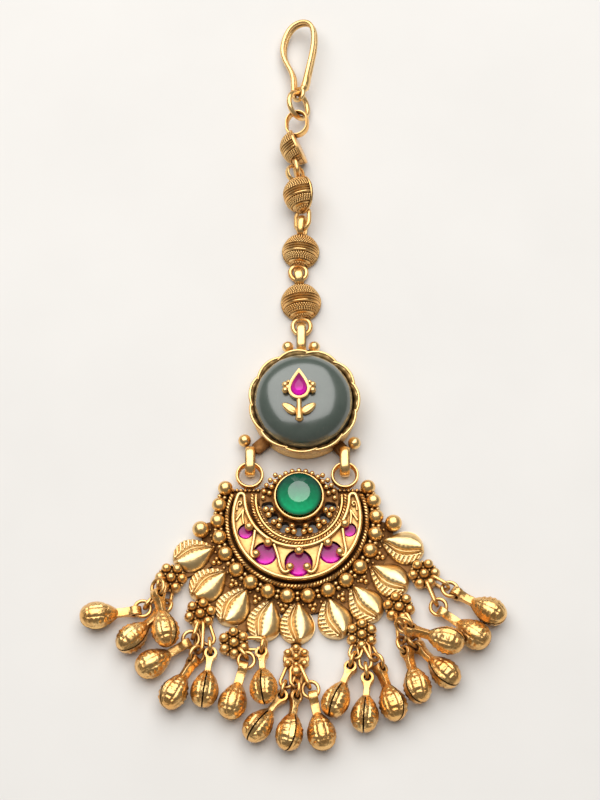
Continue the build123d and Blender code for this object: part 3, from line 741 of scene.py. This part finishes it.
for left, right in zip(OPENING_ANGLES, OPENING_ANGLES[1:]):
    middle = (left + right) / 2
    for reach, side in ((4.25, 0), (5.05, -5.4), (5.05, 5.4)):
        add_granule(reach, middle + side, 0.46)
for index in range(13):
    add_granule(4.42, 102 + 13 * index, 0.40)
for side in (-1, 1):
    for reach, angle in ((5.25, 92), (5.25, 103), (5.2, 114), (5.15, 125), (5.1, 137)):
        add_granule(reach, side * angle, 0.38)
gold_piece("pendant_granules", granules, material=gold_bright)

# -------- green stone
GREEN_R = 3.26
BEZEL_PROFILE = [  # radius and height, up the inside and down the outside
    (3.29, 0.8), (3.29, 3.24), (3.34, 3.38), (3.44, 3.48), (3.56, 3.47), (3.66, 3.36), (3.69, 3.14),
    (3.58, 2.85), (3.48, 2.5), (3.45, 1.9), (3.54, 1.75), (3.58, 1.5), (3.52, 0.8), (3.29, 0.8),
]

bezel = bmesh.new()
add_turned(bezel, BEZEL_PROFILE, 96, at(GX, GY))
add_turned(bezel, [(0, 0.95), (1.5, 1.05), (3.2, 2.2), (3.2, 0.85), (0, 0.85)], 48, at(GX, GY))
gold_piece("green_bezel", bezel, material=gold_bright)


def add_gem(bm, centre, radius, girdle, top, bottom, table):
    """A round brilliant: table, crown, girdle and pavilion."""
    part = bmesh.new()
    crown = (girdle + top) / 2
    rings = ((radius * table, top, 16, 0.0), (radius * (1 + table) / 2, crown, 16, 11.25),
             (radius, girdle + 0.04, 24, 0.0), (radius, girdle - 0.08, 24, 0.0),
             (radius * 0.12, bottom, 8, 0.0))
    for reach, height, count, start in rings:
        for x, y in round_points(reach, count, centre, start):
            part.verts.new((x, y, height))
    bmesh.ops.convex_hull(part, input=part.verts)
    put(bm, part)


def map_plan(bm):
    """Lay a gem's own map over its plan."""
    layer = bm.loops.layers.uv.new("plan")
    low_x, high_x = min(vert.co.x for vert in bm.verts), max(vert.co.x for vert in bm.verts)
    low_y, high_y = min(vert.co.y for vert in bm.verts), max(vert.co.y for vert in bm.verts)
    for face in bm.faces:
        for loop in face.loops:
            co = loop.vert.co
            loop[layer].uv = (co.x - low_x) / (high_x - low_x), (co.y - low_y) / (high_y - low_y)


low, high = box_mm("green_stone")
gem = bmesh.new()
add_gem(gem, GREEN_CENTRE, GREEN_R, high.z - 1.05, high.z, 1.30, 0.50)
map_plan(gem)
finish_piece("green_brilliant", gem, green_glass, "green_glass", "green_stone", flat=True)

# -------- crescent box
CRESCENT_TOP = 2.55
CRESCENT_OUTER_R = 9.5
CRESCENT_INNER_R = 7.4
TIP = (8.16, 3.2)
TIP_R = 0.76
SCROLL_Z = 2.4
FLOOR_BOTTOM, FLOOR_TOP = 1.95, 2.25
STRUTS = [  # routes of the wires between the stones, in plan
    ((-3.35, -4.1), (-2.75, -5.6), (-2.55, -7.1), (-2.15, -8.2), (-1.4, -8.5), (-1.0, -7.8)),
    ((3.7, -4.0), (3.15, -5.4), (3.0, -7.1), (2.6, -8.2), (1.85, -8.5), (1.45, -7.8)),
    ((-6.1, -2.0), (-6.25, -3.6), (-6.6, -4.9), (-6.6, -5.8), (-6.25, -6.15), (-5.9, -5.8)),
    ((6.65, -1.7), (6.8, -3.4), (7.15, -4.7), (7.1, -5.6), (6.7, -5.95), (6.3, -5.6)),
]
LEAF_WIRES = [  # wires in the right-hand tip; the left-hand ones mirror them
    ((7.75, 1.35), (8.3, 0.5), (8.85, -0.4)),
    ((7.75, 1.35), (8.05, 0.3), (7.75, -0.9)),
]
SCROLL = ((8.75, 1.2), (8.8, 2.3), (8.3, 2.75), (7.95, 2.3), (8.25, 1.95))
LOWER_BALLS = ((-5.9, -5.8), (-0.99, -7.75), (1.46, -7.75), (6.23, -5.5))
UPPER_BALLS = ((-6.95, -1.67), (-4.18, -4.11), (0.31, -5.32), (4.50, -4.11), (6.98, -1.21))


def crescent_loop(inset):
    """The crescent's outline, moved inwards."""
    points = [ray(CRESCENT_OUTER_R - inset, angle) for angle in range(-108, 109, 4)]
    points += round_points(TIP_R - inset, 8, TIP, 25, 150)
    points += [(x, TIP[1] + y) for x, y in
               (ray(CRESCENT_INNER_R + inset, angle) for angle in range(88, -89, -4))]
    points += round_points(TIP_R - inset, 8, (-TIP[0], TIP[1]), 5, 150)
    return points


crescent = bmesh.new()
add_flat(crescent, crescent_loop(0.06), [crescent_loop(0.44)], 0.7, CRESCENT_TOP, 0.06)
add_wire(crescent, [(*point, CRESCENT_TOP) for point in crescent_loop(0.25)], 0.29, True, "POLY", 4)
for route in STRUTS:
    add_wire(crescent, [(x, y, CRESCENT_TOP) for x, y in route], 0.27)
for side in (-1, 1):
    for route in LEAF_WIRES:
        add_wire(crescent, [(side * x, y, SCROLL_Z) for x, y in route], 0.19)
    add_wire(crescent, [(side * x, y, SCROLL_Z) for x, y in SCROLL], 0.16)
    add_small_ball(crescent, (side * 8.3, 1.95, 2.45), 0.26)
for x, y in LOWER_BALLS:
    add_ball(crescent, (x, y + 0.25, 2.6), 0.62)
for x, y in UPPER_BALLS:
    add_ball(crescent, (x, y + 0.2, 2.75), 0.66)
gold_piece("crescent_wires", crescent, material=gold_bright)

pinks = []
for index in range(1, 6):
    low, high = box_mm(f"pink_stone_{index}")
    pinks.append(((low.x + high.x) / 2, (low.y + high.y) / 2, (high.x - low.x) / 2, low.z, high.z))
tray = bmesh.new()
wells = [round_points(radius + 0.05, 36, (x, y)) for x, y, radius, _, _ in pinks]
add_flat(tray, crescent_loop(0.4), wells, FLOOR_BOTTOM, FLOOR_TOP, 0.04)
gold_piece("crescent_floor", tray, material=gold_satin)

for index, (x, y, radius, bottom, top) in enumerate(pinks, start=1):
    gem = bmesh.new()
    add_gem(gem, (x, y), radius, bottom + 0.6, top, bottom + 0.05, 0.82)
    map_plan(gem)
    finish_piece(f"pink_brilliant_{index}", gem, pink_glass, "pink_glass", f"pink_stone_{index}",
                 flat=True)

# -------- rings that hang the pendant
HANG_PROFILE = [  # radius and height round the ring's section
    (1.60, 0.75), (1.53, 0.95), (1.56, 1.5), (1.66, 1.85), (1.80, 1.98), (1.92, 1.97),
    (2.04, 1.82), (2.11, 1.5), (2.08, 1.05), (1.95, 0.78), (1.60, 0.75),
]

hangers = bmesh.new()
for x, y in HANG_RINGS:
    add_turned(hangers, HANG_PROFILE, 64, at(x, y))
gold_piece("pendant_rings", hangers, material=gold_bright)

# -------- rosettes
ROSETTE_PROFILE = [(0, 0.3), (1.8, 0.3), (1.9, 0.5), (1.9, 0.95), (1.75, 1.1), (0, 1.1)]
ROSETTE_REACH = 1.60  # from the middle ball to those round it
ROSETTE_BALL_R = 0.71
LONG_ROSETTE = [  # the middle rosette's balls: offset and radius
    (0.0, 1.55, 0.5), (-1.2, 0.8, 0.56), (1.2, 0.8, 0.56), (0.0, 0.2, 0.56),
    (-1.2, -0.75, 0.56), (1.2, -0.75, 0.56), (0.0, -0.95, 0.46), (0.0, -1.95, 0.85),
]

rosettes = bmesh.new()
for name, (x, y) in ROSETTES.items():
    outward = degrees(atan2(y, x))
    add_turned(rosettes, ROSETTE_PROFILE, 32, at(x, y))
    if name == "C4":
        places = [(x + dx, y + dy, radius) for dx, dy, radius in LONG_ROSETTE]
    else:
        places = [(*step(x, y, outward + 30 + 60 * turned, ROSETTE_REACH), ROSETTE_BALL_R)
                  for turned in range(6)]
        places.append((x, y, ROSETTE_BALL_R))
    for px, py, radius in places:
        centre = (px, py) == (x, y)
        add_ball(rosettes, (px, py, 1.62 if centre else BALL_Z), radius)
        add_ring(rosettes, at(px, py, 1.12), 2 * radius + 0.1, 2 * radius + 0.1, 0.22, 2)
    for turned in range(6):
        add_grain(rosettes, (*step(x, y, outward + 60 * turned, 0.98), 1.32), 0.25)
        add_grain(rosettes, (*step(x, y, outward + 60 * turned, 1.86), 1.22), 0.25)
gold_piece("rosettes", rosettes, material=gold_worked)

# -------- drops
# Rosette, centre of the body (x, y, z), height of the eye, heading, roll and the link's heading.
REST = 2.08
DROPS = [
    ("C1", -28.4, -14.6, REST, 1.5, -172, 90, -160),
    ("C1", -23.4, -17.8, REST, 1.5, -136, -55, -123),
    ("C1", -18.8, -16.9, 3.3, 3.0, -77, -50, -90),
    ("C2", -20.4, -21.6, REST, 1.6, -148, 80, -138),
    ("C2", -17.3, -25.8, REST, 1.5, -119, 50, -121),
    ("C2", -13.0, -25.4, REST, 1.6, -98, 0, -85),
    ("C3", -9.0, -27.2, REST, 1.5, -105, 90, -114),
    ("C3", -4.7, -25.4, 3.2, 1.8, -87, 10, -102),
    ("C4", -5.3, -30.6, REST, 1.5, -127, 5, -105),
    ("C4", -1.0, -31.6, REST, 1.5, -99, -25, -92),
    ("C4", 3.4, -31.6, REST, 1.6, -78, 90, -71),
    ("C5", 5.6, -27.0, 2.3, 1.5, -113, 10, -108),
    ("C5", 9.6, -29.0, REST, 1.5, -95, 5, -83),
    ("C5", 13.5, -27.4, REST, 1.5, -72, -40, -64),
    ("C6", 17.0, -24.9, 2.25, 1.5, -76, 50, -66),
    ("C6", 20.85, -22.9, REST, 1.5, -47, 45, -64),
    ("C6", 21.1, -18.7, 3.7, 3.45, -18, -40, -33),
    ("C7", 25.2, -17.3, REST, 1.5, -38, -75, -50),
    ("C7", 27.5, -13.9, 2.2, 1.5, -31, 75, -35),
]
DROP_R = 1.94
DROP_REACH = 5.2
DROP_START = 2.5
DROP_END = 7.98
DROP_BELLY = 5.6
DROP_NECK = 0.42
LINK_R = 1.15
LINK_WIRE = 0.56
LOOP_HALF = 0.85  # half the width of a long loop, between its wires' centres
LOOP_START = (1.1, 1.2)  # from the rosette's centre, and height


def drop_radius(along):
    """Radius of a drop's body at a distance from its eye."""
    if along < DROP_BELLY:
        share = (along - DROP_START) / (DROP_BELLY - DROP_START)
        return DROP_NECK + (DROP_R - DROP_NECK) * sin(pi / 2 * share) ** 0.92
    share = (along - DROP_BELLY) / (DROP_END - DROP_BELLY)
    return DROP_R * sqrt(max(1 - share ** 2.1, 0))


def drop_relief(along, around):
    """Stamped pattern of a half shell: two barred fields with a smooth panel between them."""
    ends = max(min((along - DROP_START - 0.5) / 0.9, (DROP_END - along - 0.2) / 0.6, 1), 0)
    share = around / pi
    bars = sin((along - DROP_START) * 8.5 + 3.0 * share)
    barred = max(ridge(share - 0.24, 0.09), ridge(share - 0.76, 0.09))
    lines = sum(ridge(share - line, 0.022) for line in (0.38, 0.62, 0.10, 0.90))
    belt = ridge(along - DROP_BELLY + 1.5, 0.16) + ridge(along - DROP_BELLY - 1.25, 0.14)
    pressed = 0.11 * barred * bars - 0.11 * lines + 0.06 * ridge(share - 0.5, 0.08)
    return ends * pressed - 0.08 * belt


def new_drop():
    """One drop along +X: two half shells with a seam between them, and a strap with the eye."""
    drop = bmesh.new()
    count = 44
    stations = [DROP_START + (DROP_END - DROP_START) * (0.5 - 0.5 * cos(pi * index / count))
                for index in range(count + 1)]
    half = bmesh.new()
    verts = [half.verts.new((along, 0, drop_radius(along))) for along in stations]
    edges = [half.edges.new(pair) for pair in zip(verts, verts[1:])]
    bmesh.ops.spin(half, geom=verts + edges, cent=(0, 0, 0), axis=(1, 0, 0), angle=-pi, steps=44)
    for vert in half.verts:
        along, radius = vert.co.x, hypot(vert.co.y, vert.co.z)
        around = atan2(abs(vert.co.y), vert.co.z)
        lip = 0.11 * (ridge(around, 0.10) + ridge(around - pi, 0.10))
        if radius > 0.05:
            scale = (radius + drop_relief(along, around) * min(radius, 1) + lip) / radius
            vert.co.y, vert.co.z = vert.co.y * scale, vert.co.z * scale
        vert.co.y = abs(vert.co.y) * 0.95 + 0.12
    bmesh.ops.remove_doubles(half, verts=half.verts, dist=FINE)
    bmesh.ops.holes_fill(half, edges=half.edges, sides=0)
    shell = master(half)
    for side in (1, -1):
        put_copy(drop, shell, Matrix.Diagonal((1, side, 1, 1)))
    eye = round_points(0.88, 22, (0, 0), 35, 290)
    upper = [(3.0, 0.30), (2.5, 0.36), (1.6, 0.33)]
    strap = upper + eye + [(x, -y) for x, y in reversed(upper)]
    add_flat(drop, strap, [round_points(0.60, 20)], -0.62, 0.62, 0.07)
    return drop


stamped_drop = master(new_drop())
loops = bmesh.new()
for number, row in enumerate(DROPS, start=1):
    rosette, body_x, body_y, body_z, eye_z, heading, roll, link_heading = row
    rise = degrees(atan2(body_z - eye_z, DROP_REACH))
    eye_x, eye_y = step(body_x, body_y, heading, -DROP_REACH)
    piece = bmesh.new()
    lie = at(eye_x, eye_y, eye_z) @ turn(heading, "Z") @ turn(-rise, "Y") @ turn(roll, "X")
    put_copy(piece, stamped_drop, lie)
    gold_piece(f"stamped_drop_{number:02d}", piece, f"drop_{number:02d}",
               material=gold_crinkled, sharp=50)

    # The long loop from the rosette that the jump link hangs in.
    far = Vector((*step(eye_x, eye_y, link_heading, -2 * LINK_R + LOOP_HALF), eye_z))
    x, y = ROSETTES[rosette]
    out = degrees(atan2(far.y - y, far.x - x))
    near = Vector((*step(x, y, out, LOOP_START[0]), LOOP_START[1]))
    run = far - near
    slope = degrees(atan2(run.z, hypot(run.x, run.y)))
    lie = Matrix.Translation((near + far) / 2) @ turn(degrees(atan2(run.y, run.x)), "Z")
    lie = lie @ turn(-slope, "Y") @ turn(roll, "X") @ turn(-90, "Z")
    add_ring(loops, lie, run.length + LINK_WIRE, 2 * LOOP_HALF + LINK_WIRE, LINK_WIRE)
gold_piece("rosette_loops", loops)

# -------- medallion
MX, MY = 1.05, 17.7
SCALLOPS = 11
PETAL_START = radians(20)
RIM_STEPS = 18
CABOCHON_R = 7.34
CABOCHON_SHOULDER = 3.6
WALL_PROFILE = [  # radius and height, up the outside and down the inside
    (0, 0), (7.5, 0), (7.70, 0.12), (7.76, 0.5), (7.70, 0.9), (7.62, 1.2), (7.62, 1.9),
    (7.68, 2.5), (7.82, 3.1), (8.02, 3.7), (8.16, 4.02), (8.14, 4.18), (8.02, 4.24),
    (7.88, 4.20), (7.74, 4.12), (7.62, 4.02), (7.52, 3.92), (7.44, 3.82), (7.38, 3.70),
    (7.36, 2.4), (7.36, 1.0), (0, 1.0),
]
LUG_ROOT = 7.0
LUGS = ((90, 9.4, 4.4), (222, 9.8, 1.5), (311, 9.4, 1.5))  # heading, reach, width
MEDAL_BALLS = ((-1.4, 27.5, 0.86), (2.6, 27.5, 0.86), (-7.75, 12.4, 0.95), (8.5, 12.0, 0.95))
MEDAL_STRAPS = ((0.65, 26.2, 31.4), (-6.9, 6.7, 11.4), (7.05, 6.7, 11.4))  # x, lower and upper end


def petal(angle):
    """Nought where two petals of the rim meet, and one in the middle of a petal."""
    return abs(sin(SCALLOPS / 2 * (angle - PETAL_START))) ** 0.8


def wavy(co):
    """Swell the flared wall of the bezel into petals with fine folds."""
    angle, radius = atan2(co.y, co.x), hypot(co.x, co.y)
    if radius < 6.5:
        return co
    lift = min(max((co.z - 2.2) / 2.0, 0), 1)
    folds = 0.10 * lift * sin(SCALLOPS * 3 * angle)
    grown = radius + lift * (0.36 * petal(angle) - 0.30) + folds
    raised = co.z + lift * (0.35 * petal(angle) - 0.25)
    return Vector((co.x * grown / radius, co.y * grown / radius, raised))


medallion = bmesh.new()
add_turned(medallion, WALL_PROFILE, 220, at(MX, MY), shape=wavy)
for index in range(SCALLOPS):
    rim = []
    for part_index in range(RIM_STEPS + 1):
        share = part_index / RIM_STEPS
        angle = PETAL_START + 2 * pi / SCALLOPS * (index - 0.06 + 1.12 * share)
        bow = sin(pi * share) ** 0.8
        reach = 7.78 + 0.40 * bow - 0.10 * share
        height = 3.92 + 0.36 * bow + 0.08 * share
        rim.append((MX + reach * cos(angle), MY + reach * sin(angle), height))
    add_wire(medallion, rim, 0.22, False, "POLY", 3)
lugs = bmesh.new()
for heading, reach, width in LUGS:
    lie = at(*step(MX, MY, heading, (reach + LUG_ROOT) / 2)) @ turn(heading, "Z")
    add_flat(lugs, box_points(reach - LUG_ROOT, width, 0.5), (), 0.25, 1.05, 0.2, lie)
# The lugs take the dark copy of the gold as painted shade.
gold_piece("medallion_lugs", lugs, material=gold_shaded_dark)
for x, y, radius in MEDAL_BALLS:
    add_ball(medallion, (x, y, BALL_Z), radius, 24, 16)
for x, lower, upper in MEDAL_STRAPS:
    add_strap(medallion, at(x, (lower + upper) / 2, 1.6), upper - lower, 3.2, 1.5, 0.62)
gold_piece("medallion_bezel", medallion, "medallion_setting", material=gold_bright)

cabochon = bmesh.new()
low, high = box_mm("medallion_stone")
profile = [(0, low.z), (CABOCHON_R, low.z), (CABOCHON_R, CABOCHON_SHOULDER - 0.6)]
for index in range(33):
    angle = pi / 2 * index / 32
    profile.append((CABOCHON_R * cos(angle) ** 0.66,
                    CABOCHON_SHOULDER + (high.z - CABOCHON_SHOULDER) * sin(angle) ** 0.90))
profile[-1] = (0, high.z)
add_turned(cabochon, profile, 128, at(MX - 0.1, MY))
finish_piece("cabochon", cabochon, stone, "grey_green_stone", "medallion_stone")

# -------- flower on the cabochon
FX, FY = 0.3, 18.1
PEAR_R = 1.25
PEAR_TIP = 2.55
PEAR_FLANK = 22  # degrees above the middle where the sides leave the round end
CUPS = ((2.02, 0.66, 0.50), (2.02, -0.20, 0.50), (1.62, 0.20, 0.48), (1.55, 1.1, 0.32))
STEM = ((0, -1.3, 0.34), (0.02, -2.5, 0.36), (0.04, -3.6, 0.38), (0.05, -4.3, 0.40),
        (0.05, -4.75, 0.40))
GEM_LAYERS = ((0.86, 0.90), (1.0, 0.70), (1.0, 0.58), (0.4, 0.3))  # share of the outline, height


def pear(radius, tip, count=28, flank_count=7):
    """Pear with its round end down, about the centre of that end."""
    points = round_points(radius, count, (0, 0), 180 - PEAR_FLANK, 180 + 2 * PEAR_FLANK)
    corner_x, corner_y = step(0, 0, PEAR_FLANK, radius)
    flank = []
    for index in range(1, flank_count + 1):
        share = index / (flank_count + 1)
        flank.append((corner_x * (1 - share ** 1.3), corner_y + (tip - corner_y) * share))
    return points + flank + [(0, tip)] + [(-x, y) for x, y in reversed(flank)]


low, high = box_mm("flower_motif")
flower_z = low.z
flower = bmesh.new()
here = at(FX, FY, flower_z)
seat = pear(PEAR_R + 0.04, PEAR_TIP + 0.06)
add_flat(flower, pear(PEAR_R + 0.30, PEAR_TIP + 0.48), [seat], 0.0, 0.84, 0.08, here)
rim = [(x, y, 0.72) for x, y in pear(PEAR_R + 0.18, PEAR_TIP + 0.27)]
add_wire(flower, rim, 0.17, True, "POLY", 3, here)
add_flat(flower, pear(PEAR_R + 0.05, PEAR_TIP + 0.1), (), 0.0, 0.22, 0.03, here)
petal_leaf = bmesh.new()
bmesh.ops.create_uvsphere(petal_leaf, u_segments=40, v_segments=24, radius=1)
for vert in petal_leaf.verts:
    along, across = vert.co.x, vert.co.y
    bend = 0.3 * (1 - along * along)
    lines = ridge(across - bend, 0.08) + ridge(across + bend, 0.08)
    groove = 1 - 0.16 * lines if vert.co.z > 0 else 1
    vert.co = (1.28 * along, 0.66 * across * (1 - 0.22 * along), 0.42 * vert.co.z * groove)
petal_leaf = master(petal_leaf)
for side in (-1, 1):
    for dx, dy, radius in CUPS:
        add_ball(flower, (FX + side * dx, FY + dy, flower_z + 0.42), radius, 16, 10)
    put_copy(flower, petal_leaf, here @ at(side * 1.42, -3.0, 0.30) @ turn(90 - side * 54, "Z"))
add_wire(flower, STEM, 0.42, False, "NURBS", 5, here, (0.9, 0.9, 1.0, 1.35, 1.5))
add_ball(flower, (FX + 0.05, FY - 4.55, flower_z + 0.42), 0.55)
gold_piece("flower_mount", flower, "flower_motif", material=gold_bright)

petal_gem = bmesh.new()
low, high = box_mm("flower_stone")
for share, height in ((0.50, high.z - flower_z), *GEM_LAYERS):
    for x, y in pear(PEAR_R * share, PEAR_TIP * share, 10, 3):
        petal_gem.verts.new((x, y + 0.12 * (1 - share), height))
bmesh.ops.convex_hull(petal_gem, input=petal_gem.verts)
map_plan(petal_gem)
bmesh.ops.transform(petal_gem, matrix=here, verts=petal_gem.verts)
finish_piece("pear_stone", petal_gem, pink_glass, "pink_glass", "flower_stone", flat=True)

# -------- chain
# Centre of the flat face (x, y, z), the dome's radius, the lean and the roll to the left.
BEADS = {
    "bead_1": (0.05, 60.8, 2.85, 2.75, 22, 106),
    "bead_2": (0.65, 52.5, 2.85, 2.85, 12, 61),
    "bead_3": (0.55, 43.8, 0.75, 2.75, -5, 0),
    "bead_4": (0.60, 35.2, 0.75, 2.95, 5, 0),
}
# Strap loops: centre (x, y, z), lean, roll, length, height and width of the band.
BEAD_STRAPS = {
    "bead_1": (0.0, 65.1, 2.55, 0, 106, 4.6, 3.8, 1.2),
    "bead_2": (-0.30, 56.15, 2.85, 12, 61, 3.3, 3.2, 0.9),
    "bead_3": (0.80, 47.5, 1.75, -5, 15, 3.8, 3.0, 0.9),
    "bead_4": (0.28, 38.9, 1.60, 5, 0, 3.2, 3.2, 1.2),
}
# Wire rings: centre (x, y, z), lean, roll, pitch, length and width to the outside.
BEAD_RINGS = {
    "bead_1": (-0.15, 57.3, 2.6, 10, 88, 0, 3.6, 3.2),
    "bead_2": (0.85, 48.65, 2.2, 0, 38, -4, 4.4, 3.2),
    "bead_3": (0.20, 40.2, 0.75, 0, 0, 0, 3.2, 3.2),
    "bead_4": (0.70, 31.2, 0.75, 0, 0, 0, 3.4, 3.4),
}
RING_WIRE = 0.72
BANDS = [  # place along the bead and half width, as shares, and height
    (0.13, 0.030, -0.16),
    (0.06, 0.045, 0.12),
    (-0.02, 0.028, -0.18),
    (-0.10, 0.045, 0.12),
    (-0.17, 0.028, -0.18),
    (-0.27, 0.075, 0.14),
    (-0.375, 0.030, -0.20),
    (-0.735, 0.025, -0.18),
    (-0.79, 0.040, 0.14),
    (-0.845, 0.022, -0.18),
]
GRAIN_ROWS = (0.95, 0.89, 0.81, 0.72, 0.62, 0.52, 0.42, 0.32, 0.22,
              -0.44, -0.52, -0.60, -0.68, -0.89, -0.94)
GRAIN_PITCH = 0.36
GRAIN_R = 0.19
BEAD_SKIN = 0.16  # the body is this much smaller, to leave room for the bands
PROFILE_STEPS = 160

for name, (x, y, z, radius, lean, roll) in BEADS.items():
    bead = bmesh.new()
    place = posed(x, y, z, lean, roll)
    body = radius - BEAD_SKIN
    profile = []
    for index in range(PROFILE_STEPS + 1):
        along = -cos(pi * index / PROFILE_STEPS)
        swell = sum(height * ridge(along - centre, width) for centre, width, height in BANDS)
        reach = body * sqrt(max(1 - along * along, 0)) + swell * min(1 - along * along, 0.6) / 0.6
        profile.append((max(reach, 0), -body * along))
    add_turned(bead, profile, 48, place @ turn(90, "X"), 180.0, close=True)
    for row in GRAIN_ROWS:
        reach = body * sqrt(1 - row * row)
        count = max(int(pi * reach / GRAIN_PITCH), 3)
        for index in range(count):
            angle = pi * (index + 0.5) / count
            centre = place @ Vector((reach * cos(angle), body * row, reach * sin(angle)))
            add_ball(bead, centre, GRAIN_R, 6, 5)
    back = [(0, -0.38), (radius, -0.38), (radius + 0.12, -0.3), (radius + 0.13, -0.08),
            (radius + 0.02, 0.02), (0, 0.02)]
    add_turned(bead, back, 48, place)
    sx, sy, sz, strap_lean, strap_roll, length, height, width = BEAD_STRAPS[name]
    add_strap(bead, posed(sx, sy, sz, strap_lean, strap_roll), length, height, 1.15 * width, 0.5)
    rx, ry, rz, ring_lean, ring_roll, ring_pitch, length, width = BEAD_RINGS[name]
    add_ring(bead, posed(rx, ry, rz, ring_lean, ring_roll, ring_pitch), length, width, RING_WIRE)
    gold_piece(f"banded_{name}", bead, name, material=gold_worked)

# -------- hook
HOOK_TURN = 22
HOOK_X, HOOK_Z = -2.2, 1.02
HOOK_WIRE = 0.76
HOOK_STACK = 0.86
HOOK_LINE = [  # from the eye, round the bend to the hammered end
    (-0.45, 71.2), (-0.45, 72.6), (-0.55, 74.2), (-1.15, 75.6), (-1.9, 77.2), (-2.3, 79.0),
    (-1.95, 81.2), (-0.9, 83.2), (0.9, 83.75), (2.35, 83.0), (2.8, 81.0), (2.7, 78.9),
    (2.35, 76.8), (1.8, 74.4), (1.25, 71.6),
]
HOOK_TAIL = [  # the hammered end curls back under the eye
    (1.55, 73.2, 0.30), (1.28, 72.0, 0.34), (0.95, 71.2, 0.26), (0.40, 70.7, 0.12),
    (-0.25, 70.75, 0.05),
]
hook = bmesh.new()
lie = at(HOOK_X, 0, HOOK_Z) @ turn(-HOOK_TURN, "Y")
stretch = 1 / cos(radians(HOOK_TURN))
swells = [1.0] * (len(HOOK_LINE) - 2) + [1.12, 1.2]
for side in (-1, 1):
    strand = [((x - HOOK_X) * stretch, y, side * HOOK_STACK / 2) for x, y in HOOK_LINE]
    add_wire(hook, strand, HOOK_WIRE / 2, False, "NURBS", 5, lie, swells)
tail = [((x - HOOK_X) * stretch, y, z) for x, y, z in HOOK_TAIL]
add_wire(hook, tail, 0.42, False, "NURBS", 5, lie, (1.05, 1.2, 1.1, 0.9, 0.7))
put_copy(hook, spheres[20, 12], lie @ at((1.5 - HOOK_X) * stretch, 72.6, 0) @ turn(-12, "Z")
         @ Matrix.Diagonal((0.56, 1.7, 0.84, 1)))
add_ring(hook, posed(0.25, 70.6, 2.1, roll=42), 2.6, 2.6, 0.7)
gold_piece("doubled_hook", hook, "hook", material=gold_bright)

# -------- CAD pieces that stay
for name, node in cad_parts.items():
    if name == "hook_ring" or name.startswith("drop_link"):
        node.data.materials.clear()
        node.data.materials.append(gold_bright if name == "hook_ring" else gold)
